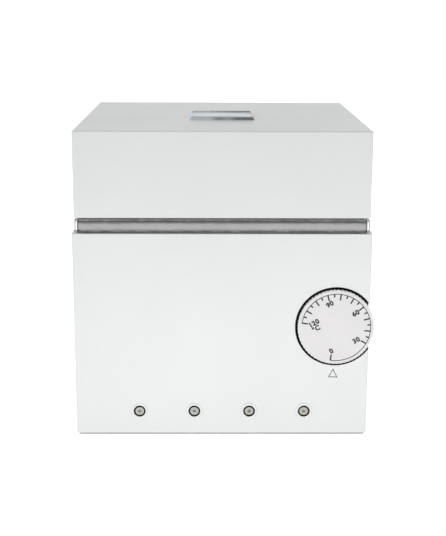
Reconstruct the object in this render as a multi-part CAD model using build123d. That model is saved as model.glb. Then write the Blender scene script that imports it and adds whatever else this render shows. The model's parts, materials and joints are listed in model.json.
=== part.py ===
from build123d import *
import math
import os

# Square-bodied wax warmer with a hinged lid, a removable pot and a dial thermostat.
# Millimetres. +Z is up, the front faces -Y, +X is the user's right, and z = 0 is what the feet stand on.

# Painted housing
BODY_WIDTH = 200.0
BODY_DEPTH = 200.0
BODY_HEIGHT = 140.4
SHEET = 1.2
SHELL_BEND_RADIUS = 1.6
SHELL_TOP_FLANGE = 9.0
SHELL_REAR_FLANGE = 12.0
PANEL_CLEARANCE = 0.2
REAR_SCREW_RISE = 8.0
REAR_SCREW_DROP = 16.0

# Bottom tray, which shows as a thin line under the housing
TRAY_PROUD = 1.4
TRAY_CLEARANCE = 0.1
TRAY_FRONT_HEIGHT = 28.0
TRAY_SIDE_HEIGHT = 12.0
TRAY_VENT_ROWS = 7
TRAY_VENT_PITCH = 9.0
TRAY_VENT_X = 28.0
TRAY_VENT_WIDTH = 3.6

# Vents of the rear panel
VENT_LENGTH = 46.0
VENT_WIDTH = 3.2
VENT_ROWS = 5
VENT_PITCH = 8.0
VENT_X = 45.0
VENT_LOWEST_Z = 30.0

# Feet
FOOT_HEIGHT = 4.0
FOOT_RADIUS = 8.0
FOOT_TAPER = 1.0
FOOT_INSET = 22.0
FOOT_SCREW_SINK = 0.4
FOOT_SCREW_SPACE = 0.6

# Steel deck with its bright rim
RIM_INSET = 1.3
RIM_HEIGHT = 9.9
RIM_CORNER_RADIUS = 5.5
RIM_TOP_RADIUS = 2.5
RIM_BOTTOM_RADIUS = 3.2
DECK_SHEET = 0.8
DECK_LIP = 10.0
DECK_LIP_CORNER = 2.0
DECK_HOLE_CLEARANCE = 0.5
DECK_SCREW_SPREAD = 55.0
DECK_SCREW_EDGE = 1.7

# Lid
LID_INSET = 1.5
LID_HEIGHT = 57.6
LID_GAP = 0.7
LID_EDGE_RADIUS = 1.0
LID_FLANGE = 10.0
BUMPER_RADIUS = 3.6
BUMPER_STEM_RADIUS = 1.5
BUMPER_INSET = 6.0
BADGE_WIDTH = 46.5
BADGE_DEPTH = 43.2
BADGE_THICKNESS = 2.4
BADGE_SLOPE = 33.0
BADGE_CORNER_RADIUS = 2.4
BADGE_RECESS = 0.8
BADGE_RECESS_INSET = 2.1
BADGE_RECESS_CORNER = 1.5
BADGE_FORWARD = 12.1
BADGE_STUD_X = 15.0
BADGE_STUD_RADIUS = 1.5
BADGE_STUD_LENGTH = 2.2
BADGE_CLIP_RADIUS = 4.0
BADGE_CLIP_THICKNESS = 0.8

# Lid hinge
HINGE_X = 60.0
HINGE_LENGTH = 44.0
HINGE_SCREW_X = 13.0
HINGE_BODY_SCREW_RISE = 6.0
HINGE_LID_SCREW_DROP = 4.0
KNUCKLES = 5
KNUCKLE_RADIUS = 2.8
KNUCKLE_GAP = 0.5
HINGE_PIN_RADIUS = 1.5
HINGE_RUNNING_CLEARANCE = 0.06
LEAF_SHEET = 1.2
LEAF_DROP = 22.0
LEAF_ARM = 2.0
LEAF_CORNER_RADIUS = 3.0
LEAF_GAP = 0.4
LEAF_RISE = 0.3
HINGE_AXIS_BACK = 3.0
HINGE_AXIS_RISE = 0.3

# Dial
DIAL_EDGE = 23.0
DIAL_DROP = 63.8
DIAL_RADIUS = 26.0
DIAL_GAP = 1.6
DIAL_PROUD = 2.6
DIAL_DEPTH = 10.0
DIAL_RIM_FACE = 0.7
DIAL_RIM_CHAMFER = 0.4
DIAL_NOTCHES = 60
DIAL_NOTCH_DEPTH = 0.45
DIAL_WALL = 2.2
DIAL_FRONT_WALL = 2.2
DIAL_PLATE_MARGIN = 1.2
DIAL_PLATE_THICKNESS = 0.4
DIAL_PLATE_RECESS = 0.1
DIAL_HUB_RADIUS = 5.5
DIAL_HUB_SETBACK = 1.4
DIAL_RIBS = 6
DIAL_RIB_THICKNESS = 1.2
DIAL_RIB_SETBACK = 3.0
DIAL_SLOT_MARGIN = 1.6
SPINDLE_RADIUS = 3.0
SPINDLE_FLAT = 2.5
SPINDLE_FLAT_LENGTH = 7.0
SPINDLE_TIP_GAP = 0.3
SPINDLE_RUNNING_CLEARANCE = 0.05

# Thermostat behind the dial
BRACKET_GAP = 2.2
BRACKET_MARGIN = 1.0
BRACKET_SIDE = 5.0
BRACKET_FOOT = 10.0
BUSHING_RADIUS = 5.0
BUSHING_LENGTH = 2.9
BUSHING_NUT_FLATS = 14.0
BUSHING_NUT_HEIGHT = 2.4
THERMOSTAT_WIDTH = 34.0
THERMOSTAT_HEIGHT = 42.0
THERMOSTAT_CASE_DEPTH = 14.0
THERMOSTAT_CORNER_RADIUS = 2.0
SWITCH_DEPTH = 14.0
SWITCH_STEP = 2.0
SWITCH_CHAMFER = 1.2
BLADE_WIDTH = 6.3
BLADE_THICKNESS = 0.8
BLADE_LENGTH = 8.2
BLADE_ROOT = 1.0
BULB_RADIUS = 3.0
BULB_LENGTH = 70.0
BULB_Y = -20.0
BULB_GAP = 0.2
BULB_NOSE_RADIUS = 2.0
CAPILLARY_RADIUS = 0.8
CAPILLARY_BENDS = [8.0, 12.0, 4.5]
CAPILLARY_LEFT = 6.2
CAPILLARY_BACK = 7.2
CLIP_SHEET = 1.0
CLIP_LENGTH = 10.0
CLIP_HALF = 12.0
CLIP_SCREW_Y = 8.0

# Front screws in their cups
FRONT_SCREWS = 4
FRONT_SCREW_PITCH = 37.6
FRONT_SCREW_RISE = 16.5
CUP_FLANGE_RADIUS = 5.3
CUP_RIM_RADIUS = 0.7
CUP_BORE_RADIUS = 4.1
CUP_BARREL_RADIUS = 4.7
CUP_PROUD = 1.8
CUP_FLOOR = 0.8
SCREW_HEAD_RECESS = 1.0
FRONT_HEAD_RADIUS = 3.4
FRONT_HEAD_HEIGHT = 2.4
FRONT_HEAD_EDGE = 0.35
FRONT_SOCKET_FLATS = 2.5
FRONT_SOCKET_DEPTH = 1.5
FRONT_SHANK_RADIUS = 2.0
FRONT_SHANK_LENGTH = 6.4
FRONT_NUT_WASHER = 0.9
FRONT_NUT_WASHER_RADIUS = 6.0
FRONT_NUT_FLATS = 7.0
FRONT_NUT_HEIGHT = 2.8

# Heating well
WELL_RADIUS = 63.0
WELL_WALL = 1.5
WELL_FLOOR = 3.0
WELL_DEPTH = 104.0
WELL_OUTER_CORNER = 8.0
WELL_INNER_CORNER = 6.5
WELL_FLANGE = 7.5
WELL_FLANGE_THICKNESS = 3.0
WELL_SCREWS = 6
WELL_SCREW_LENGTH = 3.6
WELL_FLANGE_SKIN = 0.8
WELL_FLOOR_TAP = 2.2
GASKET_THICKNESS = 1.0
GASKET_MARGIN = 0.4

# Pot, its ears and its bail
POT_GAP = 1.5
POT_TAPER = 1.5
POT_WALL = 1.0
POT_FLOOR_GAP = 0.5
POT_RIM_REACH = 5.5
POT_CORNER_RADIUS = 7.0
EAR_INSET = 2.5
EAR_SHEET = 1.2
EAR_RISE = 3.9
EAR_WIDTH = 10.0
EAR_FOOT = 3.4
BAIL_RADIUS = 1.6
BAIL_CLEARANCE = 0.08
BAIL_REACH = 43.0
BAIL_CORNER_RADIUS = 22.0
BAIL_END_RADIUS = 2.0
BAIL_END_IN = 4.0
BAIL_SIDE_GAP = 1.8
REST_GAP = 0.3

# Heater, insulation and shield
FIT_GAP = 0.1
HEATER_HEIGHT = 60.0
HEATER_THICKNESS = 1.6
HEATER_GAP = 3.0
HEATER_ANGLE = 135.0
HEATER_EAR_SHEET = 1.2
HEATER_EAR_REACH = 8.0
HEATER_EAR_ROOT = 0.6
HEATER_EAR_HEIGHT = 18.0
HEATER_EAR_DROP = 4.0
HEATER_BOLT_OUT = 4.5
TERMINAL_SPREAD = 7.8
TERMINAL_RISE = 7.0
TERMINAL_GAP = 0.15
TERMINAL_POST_RADIUS = 3.5
TERMINAL_POST_LENGTH = 10.0
TERMINAL_STUD_RADIUS = 1.5
TERMINAL_STUD_LENGTH = 6.0
WRAP_THICKNESS = 9.0
WRAP_HEIGHT = 80.0
WRAP_RISE = 7.3
WRAP_GAP = 0.6
WRAP_SLOT = 34.0
SHIELD_HALF = 60.0
SHIELD_SPACING = 52.0
SHIELD_RISE = 23.6
SHIELD_CORNER = 4.0
STANDOFF_FLATS = 5.5
STANDOFF_END = 3.4
STANDOFF_SUNK = 0.2
DISC_RADIUS = 58.0
DISC_THICKNESS = 11.0
CUTOUT_X = -10.0
CUTOUT_Y = 20.0
CUTOUT_RADIUS = 8.5
CUTOUT_HEIGHT = 7.5
CUTOUT_FLANGE_HALF = 17.0
CUTOUT_FLANGE_WIDTH = 8.0
CUTOUT_SCREW_Y = 13.0
CUTOUT_BLADE_DROP = 6.2
CUTOUT_BLADE_REACH = 16.0

# Mains inlet
INLET_X = -60.0
INLET_Z = 29.0
INLET_WIDTH = 26.8
INLET_HEIGHT = 19.6
INLET_DEPTH = 20.0
INLET_FLOOR = 5.0
INLET_SIDE_WALL = 1.2
INLET_TOP_WALL = 1.5
INLET_KEY = 4.0
INLET_FLANGE_WIDTH = 48.0
INLET_FLANGE_HEIGHT = 22.4
INLET_FLANGE_THICKNESS = 2.5
INLET_FLANGE_CORNER = 5.0
INLET_SCREW_X = 19.0
PIN_SPACING = 7.0
PIN_OFFSET = 2.0
PIN_WIDTH = 2.0
PIN_HEIGHT = 4.0
PIN_TAIL = 4.0
PIN_SETBACK = 2.5
PIN_NOSE = 0.5

# Earth point on the tray
EARTH_X = -86.0
EARTH_Y = 44.0
EARTH_STUD_RADIUS = 2.0
EARTH_STUD_HEIGHT = 9.0
EARTH_NUT_FLATS = 7.0
EARTH_NUT_HEIGHT = 3.0
LUG_SHEET = 1.0
LUG_RADIUS = 4.4
LUG_BARREL_RADIUS = 1.8
LUG_BARREL_START = 8.0
LUG_REACH = 15.0

# Small fasteners, gaps and leads
M3_SHANK = 1.5
M3_HEAD = 2.8
M3_HEAD_HEIGHT = 1.8
M3_CSK_HEAD = 2.6
M3_CSK_DEPTH = 1.1
M3_NUT_FLATS = 5.5
M3_NUT_HEIGHT = 2.4
HEAD_CHAMFER = 0.35
FOOT_SCREW_LENGTH = 7.0
REAR_SCREW_LENGTH = 5.0
DECK_SCREW_LENGTH = 4.5
FLOOR_SCREW_LENGTH = 3.0
INLET_SCREW_LENGTH = 7.5
HINGE_SCREW_LENGTH = 6.0
BOLT_END = 3.2
HOLE_CLEARANCE = 0.15
THREAD_CLEARANCE = 0.02
LEAD_RADIUS = 1.2

# Levels and faces that follow from the sizes above
HALF_WIDTH = BODY_WIDTH / 2
FRONT = -BODY_DEPTH / 2
BACK = BODY_DEPTH / 2
TRAY_BOTTOM = FOOT_HEIGHT
FOOT_SEAT = M3_HEAD_HEIGHT + FOOT_SCREW_SINK
TRAY_TOP = TRAY_BOTTOM + SHEET
BODY_BOTTOM = TRAY_BOTTOM + TRAY_PROUD
BODY_TOP = BODY_BOTTOM + BODY_HEIGHT
INNER_X = HALF_WIDTH - SHEET
INNER_FRONT = FRONT + SHEET
INNER_BACK = BACK - SHEET
DECK_TOP = BODY_TOP + RIM_HEIGHT
LID_X = HALF_WIDTH - LID_INSET
LID_Y = BACK - LID_INSET
LID_BOTTOM = DECK_TOP + LID_GAP
LID_TOP = LID_BOTTOM + LID_HEIGHT
HINGE_AXIS_Y = BACK + HINGE_AXIS_BACK
HINGE_AXIS_Z = DECK_TOP + HINGE_AXIS_RISE
HINGE_BODY_SCREW_Z = HINGE_AXIS_Z - KNUCKLE_RADIUS - LEAF_DROP + HINGE_BODY_SCREW_RISE
HINGE_LID_SCREW_Z = HINGE_AXIS_Z + LEAF_DROP - HINGE_LID_SCREW_DROP
DIAL_X = HALF_WIDTH - DIAL_EDGE
DIAL_Z = BODY_TOP - DIAL_DROP
DIAL_PLATE_RADIUS = DIAL_RADIUS - DIAL_PLATE_MARGIN
DIAL_FACE_Y = FRONT - DIAL_PROUD
DIAL_PLATE_Y = DIAL_FACE_Y + DIAL_PLATE_RECESS
DIAL_BACK_Y = DIAL_FACE_Y + DIAL_DEPTH
DIAL_WALL_Y = DIAL_FACE_Y + DIAL_FRONT_WALL
BRACKET_Y = DIAL_BACK_Y + BRACKET_GAP
THERMOSTAT_Y = BRACKET_Y + SHEET
SWITCH_Y = THERMOSTAT_Y + THERMOSTAT_CASE_DEPTH
SWITCH_BACK_Y = SWITCH_Y + SWITCH_DEPTH
BLADE_TIP_Y = SWITCH_BACK_Y + BLADE_LENGTH
BLADE_XS = (DIAL_X - 9.2, DIAL_X + 8.8)
BLADE_ZS = (DIAL_Z - 10.0, DIAL_Z + 10.0)
FRONT_SCREW_Z = BODY_BOTTOM + FRONT_SCREW_RISE
FRONT_HEAD_Y = FRONT - CUP_PROUD + SCREW_HEAD_RECESS
CUP_SEAT_Y = FRONT_HEAD_Y + FRONT_HEAD_HEIGHT
FLANGE_BOTTOM = DECK_TOP + GASKET_THICKNESS
FLANGE_TOP = FLANGE_BOTTOM + WELL_FLANGE_THICKNESS
WELL_OUTER = WELL_RADIUS + WELL_WALL
WELL_INSIDE_Z = FLANGE_TOP - WELL_DEPTH
WELL_UNDERSIDE = WELL_INSIDE_Z - WELL_FLOOR
WELL_SCREW_RADIUS = WELL_OUTER + WELL_FLANGE / 2
POT_OUTER = WELL_RADIUS - POT_GAP
POT_RIM_RADIUS = WELL_RADIUS + POT_RIM_REACH
POT_BOTTOM = WELL_INSIDE_Z + POT_FLOOR_GAP
POT_TOP = FLANGE_TOP + POT_WALL
EAR_X = POT_RIM_RADIUS - EAR_INSET
BAIL_PIVOT_Z = POT_TOP + EAR_RISE
BAIL_DROP = EAR_RISE - BAIL_RADIUS - REST_GAP
HEATER_INNER = WELL_OUTER + FIT_GAP
HEATER_OUTER = HEATER_INNER + HEATER_THICKNESS
HEATER_Z = WELL_INSIDE_Z + (WELL_DEPTH - HEATER_HEIGHT) / 2
HEATER_TOP = HEATER_Z + HEATER_HEIGHT
HEATER_BOLT_Z = HEATER_TOP - HEATER_EAR_DROP - HEATER_EAR_HEIGHT / 2
TERMINAL_Z = HEATER_Z + TERMINAL_RISE
TERMINAL_TIP = HEATER_OUTER + TERMINAL_POST_LENGTH + TERMINAL_STUD_LENGTH
WRAP_Z = WELL_UNDERSIDE + WRAP_RISE
WRAP_INNER = HEATER_OUTER + WRAP_GAP
WRAP_OUTER = WRAP_INNER + WRAP_THICKNESS
SHIELD_Z = TRAY_TOP + SHIELD_RISE
SHIELD_TOP = SHIELD_Z + SHEET
BULB_Z = WELL_UNDERSIDE - BULB_GAP - BULB_RADIUS
CUTOUT_Z = WELL_UNDERSIDE - CUTOUT_BLADE_DROP
PIN_TAIL_Y = BACK - INLET_DEPTH - PIN_TAIL
PIN_XZ = [
    (INLET_X - PIN_SPACING, INLET_Z - PIN_OFFSET),
    (INLET_X + PIN_SPACING, INLET_Z - PIN_OFFSET),
    (INLET_X, INLET_Z + PIN_OFFSET),
]
NEUTRAL_PIN, LIVE_PIN, EARTH_PIN = [(x, PIN_TAIL_Y, z) for x, z in PIN_XZ]
LUG_BARREL_Z = TRAY_TOP + LUG_BARREL_RADIUS

FACING_FRONT = Rot(90, 0, 0)
FACING_BACK = Rot(-90, 0, 0)
FACING_DOWN = Rot(180, 0, 0)
SIDES = (-1, 1)
CORNERS = [(sx, sy) for sx in SIDES for sy in SIDES]

# Where the screws stand
FRONT_SCREW_XS = [(i - (FRONT_SCREWS - 1) / 2) * FRONT_SCREW_PITCH for i in range(FRONT_SCREWS)]
FOOT_XY = [(sx * (HALF_WIDTH - FOOT_INSET), sy * (BACK - FOOT_INSET)) for sx, sy in CORNERS]
REAR_SCREW_X = INNER_X - SHELL_REAR_FLANGE / 2
REAR_SCREW_LOW = BODY_BOTTOM + REAR_SCREW_RISE
REAR_SCREW_ZS = (REAR_SCREW_LOW, BODY_TOP - REAR_SCREW_DROP)
REAR_SCREW_XZ = [(side * REAR_SCREW_X, z) for side in SIDES for z in REAR_SCREW_ZS]
DECK_SCREW_IN = SHELL_TOP_FLANGE / 2 + DECK_SCREW_EDGE
DECK_SCREW_XY = [(sx * (INNER_X - DECK_SCREW_IN), sy * DECK_SCREW_SPREAD) for sx, sy in CORNERS]
DECK_SCREW_XY += [(side * DECK_SCREW_SPREAD, INNER_FRONT + DECK_SCREW_IN) for side in SIDES]
FLOOR_SCREW_XY = [(CUTOUT_X, CUTOUT_Y + side * CUTOUT_SCREW_Y) for side in SIDES]
FLOOR_SCREW_XY += [(0, BULB_Y + side * CLIP_SCREW_Y) for side in SIDES]
SHIELD_XY = [(sx * SHIELD_SPACING, sy * SHIELD_SPACING) for sx, sy in CORNERS]
HINGE_SCREW_XS = [side * HINGE_X + along for side in SIDES for along in (-HINGE_SCREW_X, HINGE_SCREW_X)]
INLET_SCREW_XS = [INLET_X + side * INLET_SCREW_X for side in SIDES]
BUMPER_XY = [(sx * (LID_X - BUMPER_INSET), sy * (LID_Y - BUMPER_INSET)) for sx, sy in CORNERS]


def block(x0, x1, y0, y1, z0, z1):
    """Box between two opposite corners."""
    return Pos((x0 + x1) / 2, (y0 + y1) / 2, (z0 + z1) / 2) * Box(abs(x1 - x0), y1 - y0, z1 - z0)


def post(x, y, z0, z1, radius):
    """Upright cylinder."""
    return Pos(x, y, (z0 + z1) / 2) * Cylinder(radius, z1 - z0)


def bar_y(x, z, y0, y1, radius):
    """Cylinder that runs front to back."""
    return Pos(x, (y0 + y1) / 2, z) * Rot(90, 0, 0) * Cylinder(radius, y1 - y0)


def bar_x(y, z, x0, x1, radius):
    """Cylinder that runs side to side."""
    return Pos((x0 + x1) / 2, y, z) * Rot(0, 90, 0) * Cylinder(radius, x1 - x0)


def ring(z0, z1, inner, outer):
    """Upright ring about the middle of the body."""
    return post(0, 0, z0, z1, outer) - post(0, 0, z0 - 1, z1 + 1, inner)


def pad(width, depth, corner, z0, z1):
    """Rectangular slab with rounded upright edges, about the middle of the body."""
    return Pos(0, 0, z0) * extrude(RectangleRounded(width, depth, corner), z1 - z0)


def hexagon(flats):
    """Hexagonal face of a width across flats."""
    return RegularPolygon(flats / math.sqrt(3), 6)


def polar(radius, degrees):
    """Plan point at a radius and angle from the middle."""
    return radius * math.cos(math.radians(degrees)), radius * math.sin(math.radians(degrees))


def joined(shapes):
    """All the solids of some shapes as one compound, each still separate."""
    return Compound([solid for shape in shapes for solid in shape.solids()])


def pan_screw(length):
    """M3 screw with a round head above its seat at z = 0 and its shank below."""
    top = Pos(0, 0, M3_HEAD_HEIGHT / 2) * Cylinder(M3_HEAD, M3_HEAD_HEIGHT)
    top = chamfer(top.edges().sort_by(Axis.Z)[-1], M3_HEAD_HEIGHT * HEAD_CHAMFER)
    return top + post(0, 0, -length, 0, M3_SHANK)


def flat_screw(length, clearance=0.0):
    """Countersunk M3 screw with its head flush at z = 0, or with a clearance the space that it needs."""
    depth = M3_CSK_DEPTH + clearance
    head = Pos(0, 0, -depth / 2) * Cone(M3_SHANK + clearance, M3_CSK_HEAD + clearance, depth)
    return head + post(0, 0, -length, 0, M3_SHANK + clearance)


def hex_nut(flats, height, screw_radius):
    """Nut that stands on z = 0, on a screw of a given radius."""
    return extrude(hexagon(flats), height) - post(0, 0, -1, height + 1, screw_radius + THREAD_CLEARANCE)


def m3_nut():
    return hex_nut(M3_NUT_FLATS, M3_NUT_HEIGHT, M3_SHANK)


def tube(points, bends, radius):
    """Round tube along straight runs joined by tangent arcs."""
    path = FilletPolyline(*points, radius=bends)
    section = Plane(origin=path @ 0, z_dir=path % 0) * Circle(radius)
    return sweep(section, path=path)


def body_shell():
    """Front and two sides folded from one sheet, with a top flange and two rear flanges."""
    shell = block(-HALF_WIDTH, HALF_WIDTH, FRONT, BACK, BODY_BOTTOM, BODY_TOP)
    shell = fillet(shell.edges().filter_by(Axis.Z).group_by(Axis.Y)[0], SHELL_BEND_RADIUS)
    inside = block(-INNER_X, INNER_X, INNER_FRONT, BACK + 1, BODY_BOTTOM - 1, BODY_TOP - SHEET)
    shell -= fillet(inside.edges().filter_by(Axis.Z).group_by(Axis.Y)[0], SHELL_BEND_RADIUS - SHEET)
    opening = INNER_X - SHELL_TOP_FLANGE
    shell -= block(-opening, opening, INNER_FRONT + SHELL_TOP_FLANGE, BACK + 1, BODY_TOP - 2, BODY_TOP + 1)
    shell -= block(-INNER_X, INNER_X, INNER_BACK, BACK + 1, BODY_BOTTOM - 1, BODY_TOP + 1)
    for side in SIDES:
        shell += block(side * INNER_X, side * (INNER_X - SHELL_REAR_FLANGE), INNER_BACK - SHEET, INNER_BACK,
                       BODY_BOTTOM, BODY_TOP - SHEET)
    shell -= bar_y(DIAL_X, DIAL_Z, FRONT - 1, DIAL_BACK_Y + DIAL_SLOT_MARGIN, DIAL_RADIUS + DIAL_GAP)
    for x in FRONT_SCREW_XS:
        shell -= bar_y(x, FRONT_SCREW_Z, FRONT - 1, INNER_FRONT + 1, CUP_BARREL_RADIUS + FIT_GAP)
    for x, z in REAR_SCREW_XZ:
        shell -= bar_y(x, z, INNER_BACK - 5, BACK + 1, M3_SHANK + THREAD_CLEARANCE)
    for x, y in DECK_SCREW_XY:
        shell -= post(x, y, BODY_TOP - 3, BODY_TOP + 1, M3_SHANK + HOLE_CLEARANCE)
    return shell


def rear_panel():
    """Flat back panel between the side walls, with the inlet's hole and a row of vents."""
    panel = block(-INNER_X + PANEL_CLEARANCE, INNER_X - PANEL_CLEARANCE, INNER_BACK, BACK,
                  BODY_BOTTOM + PANEL_CLEARANCE, BODY_TOP - PANEL_CLEARANCE)
    half_w, half_h = INLET_WIDTH / 2 + PANEL_CLEARANCE, INLET_HEIGHT / 2 + PANEL_CLEARANCE
    panel -= block(INLET_X - half_w, INLET_X + half_w, INNER_BACK - 1, BACK + 1,
                   INLET_Z - half_h, INLET_Z + half_h)
    holes = [(x, INLET_Z) for x in INLET_SCREW_XS] + [(x, HINGE_BODY_SCREW_Z) for x in HINGE_SCREW_XS]
    for x, z in holes + REAR_SCREW_XZ:
        panel -= bar_y(x, z, INNER_BACK - 1, BACK + 1, M3_SHANK + HOLE_CLEARANCE)
    slot = FACING_FRONT * extrude(SlotOverall(VENT_LENGTH, VENT_WIDTH), SHEET * 4, both=True)
    for row in range(VENT_ROWS):
        panel -= Pos(VENT_X, BACK, VENT_LOWEST_Z + row * VENT_PITCH) * slot
    return panel


def base_tray():
    """Folded tray that closes the bottom, with a tall front flange and vents under the heater."""
    half_x = INNER_X - TRAY_CLEARANCE
    front, back = INNER_FRONT + TRAY_CLEARANCE, INNER_BACK - SHEET - TRAY_CLEARANCE
    tray = block(-half_x, half_x, front, back, TRAY_BOTTOM, BODY_BOTTOM + TRAY_FRONT_HEIGHT)
    tray = fillet(tray.edges().filter_by(Axis.Z).group_by(Axis.Y)[0], SHELL_BEND_RADIUS - SHEET)
    tray -= block(-half_x + SHEET, half_x - SHEET, front + SHEET, back - SHEET, TRAY_TOP, BODY_TOP)
    tray -= block(-half_x - 1, half_x + 1, front + SHEET, back + 1, BODY_BOTTOM + TRAY_SIDE_HEIGHT, BODY_TOP)
    for x in FRONT_SCREW_XS:
        tray -= bar_y(x, FRONT_SCREW_Z, front - 1, front + SHEET + 1, CUP_BARREL_RADIUS + FIT_GAP)
    for x, y in FOOT_XY:
        tray -= post(x, y, TRAY_BOTTOM - 1, TRAY_TOP + 1, M3_SHANK + HOLE_CLEARANCE)
    for side in SIDES:
        tray -= bar_y(side * REAR_SCREW_X, REAR_SCREW_LOW, back - SHEET - 1, back + 1,
                      M3_SHANK + THREAD_CLEARANCE)
    slot = extrude(SlotOverall(VENT_LENGTH, TRAY_VENT_WIDTH), SHEET * 4, both=True)
    for side in SIDES:
        for row in range(TRAY_VENT_ROWS):
            along = (row - (TRAY_VENT_ROWS - 1) / 2) * TRAY_VENT_PITCH
            tray -= Pos(side * TRAY_VENT_X, along, TRAY_BOTTOM) * slot
    for x, y in SHIELD_XY:
        tray -= post(x, y, TRAY_BOTTOM - 1, TRAY_TOP + 1, M3_SHANK)
    return tray


def feet():
    """Rubber feet, each with a recess below for its screw."""
    foot = Pos(0, 0, FOOT_HEIGHT / 2) * Cone(FOOT_RADIUS - FOOT_TAPER, FOOT_RADIUS, FOOT_HEIGHT)
    foot -= post(0, 0, -1, FOOT_SEAT, M3_HEAD + FOOT_SCREW_SPACE)
    foot -= post(0, 0, -1, FOOT_HEIGHT + 1, M3_SHANK + HOLE_CLEARANCE)
    return joined([Pos(x, y, 0) * foot for x, y in FOOT_XY])


def foot_screws():
    screw = FACING_DOWN * pan_screw(FOOT_SCREW_LENGTH)
    return joined([Pos(x, y, FOOT_SEAT) * screw for x, y in FOOT_XY])


def foot_nuts():
    return joined([Pos(x, y, TRAY_TOP) * m3_nut() for x, y in FOOT_XY])


def screw_cups():
    """Round cups that line the four front holes and hold the screw heads below their rims."""
    cup_back = CUP_SEAT_Y + CUP_FLOOR
    cup = bar_y(0, 0, FRONT - CUP_PROUD, FRONT, CUP_FLANGE_RADIUS)
    cup = fillet(cup.edges().sort_by(Axis.Y)[0], CUP_RIM_RADIUS)
    cup += bar_y(0, 0, FRONT, cup_back, CUP_BARREL_RADIUS)
    cup -= bar_y(0, 0, FRONT - CUP_PROUD - 1, CUP_SEAT_Y, CUP_BORE_RADIUS)
    cup -= bar_y(0, 0, FRONT, cup_back + 1, FRONT_SHANK_RADIUS + HOLE_CLEARANCE)
    return joined([Pos(x, 0, FRONT_SCREW_Z) * cup for x in FRONT_SCREW_XS])


def front_screws():
    """Low-head socket screws, their faces just below the cups' rims."""
    screw = bar_y(0, 0, FRONT_HEAD_Y, CUP_SEAT_Y, FRONT_HEAD_RADIUS)
    screw = fillet(screw.edges().sort_by(Axis.Y)[0], FRONT_HEAD_EDGE)
    screw += bar_y(0, 0, CUP_SEAT_Y, CUP_SEAT_Y + FRONT_SHANK_LENGTH, FRONT_SHANK_RADIUS)
    socket = FACING_FRONT * extrude(hexagon(FRONT_SOCKET_FLATS), FRONT_SOCKET_DEPTH, both=True)
    screw -= Pos(0, FRONT_HEAD_Y, 0) * socket
    return joined([Pos(x, 0, FRONT_SCREW_Z) * screw for x in FRONT_SCREW_XS])


def front_nuts():
    """Flanged nuts behind the tray's front flange."""
    seat = INNER_FRONT + TRAY_CLEARANCE + SHEET
    nut = bar_y(0, 0, seat, seat + FRONT_NUT_WASHER, FRONT_NUT_WASHER_RADIUS)
    flats = FACING_BACK * extrude(hexagon(FRONT_NUT_FLATS), FRONT_NUT_HEIGHT)
    nut += Pos(0, seat + FRONT_NUT_WASHER, 0) * flats
    nut -= bar_y(0, 0, seat - 1, seat + 6, FRONT_SHANK_RADIUS + THREAD_CLEARANCE)
    return joined([Pos(x, 0, FRONT_SCREW_Z) * nut for x in FRONT_SCREW_XS])


def rear_screws():
    screw = FACING_BACK * pan_screw(REAR_SCREW_LENGTH)
    return joined([Pos(x, BACK, z) * screw for x, z in REAR_SCREW_XZ])


def rim_block(offset, lift):
    """Solid inside the deck's drawn rim, set in from its outside by an offset."""
    width = 2 * (HALF_WIDTH - RIM_INSET - offset)
    depth = 2 * (BACK - RIM_INSET - offset)
    solid = pad(width, depth, RIM_CORNER_RADIUS - offset, BODY_TOP + lift, DECK_TOP - offset)
    solid = fillet(solid.faces().sort_by(Axis.Z)[-1].edges(), RIM_TOP_RADIUS - offset)
    return fillet(solid.faces().sort_by(Axis.Z)[0].edges(), RIM_BOTTOM_RADIUS - offset)


def deck():
    """Drawn steel deck: flat top, rounded rim, and a rolled-under lip that rests on the housing."""
    sheet = rim_block(0, 0) - rim_block(DECK_SHEET, DECK_SHEET)
    lip_x = 2 * (HALF_WIDTH - RIM_INSET - DECK_LIP)
    lip_y = 2 * (BACK - RIM_INSET - DECK_LIP)
    sheet -= pad(lip_x, lip_y, DECK_LIP_CORNER, BODY_TOP - 1, BODY_TOP + 3)
    sheet -= post(0, 0, DECK_TOP - 2, DECK_TOP + 1, WELL_OUTER + DECK_HOLE_CLEARANCE)
    for x, y in well_screw_places():
        sheet -= post(x, y, DECK_TOP - 2, DECK_TOP + 1, M3_SHANK + HOLE_CLEARANCE)
    for x, y in DECK_SCREW_XY:
        sheet -= post(x, y, BODY_TOP - 1, BODY_TOP + 2, M3_SHANK + THREAD_CLEARANCE)
    return sheet


def deck_screws():
    screw = FACING_DOWN * pan_screw(DECK_SCREW_LENGTH)
    return joined([Pos(x, y, BODY_TOP - SHEET) * screw for x, y in DECK_SCREW_XY])


def well_screw_places():
    return [polar(WELL_SCREW_RADIUS, 360 / WELL_SCREWS * i) for i in range(WELL_SCREWS)]


def heating_well():
    """Aluminium cup that hangs in the deck by its flange."""
    well = post(0, 0, WELL_UNDERSIDE, FLANGE_TOP, WELL_OUTER)
    well = fillet(well.edges().sort_by(Axis.Z)[0], WELL_OUTER_CORNER)
    well += post(0, 0, FLANGE_BOTTOM, FLANGE_TOP, WELL_OUTER + WELL_FLANGE)
    inside = post(0, 0, WELL_INSIDE_Z, FLANGE_TOP + 5, WELL_RADIUS)
    well -= fillet(inside.edges().sort_by(Axis.Z)[0], WELL_INNER_CORNER)
    for x, y in well_screw_places():
        well -= post(x, y, FLANGE_BOTTOM - 1, FLANGE_TOP - WELL_FLANGE_SKIN, M3_SHANK + THREAD_CLEARANCE)
    for x, y in FLOOR_SCREW_XY:
        well -= post(x, y, WELL_UNDERSIDE - 1, WELL_UNDERSIDE + WELL_FLOOR_TAP, M3_SHANK + THREAD_CLEARANCE)
    return well


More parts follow.
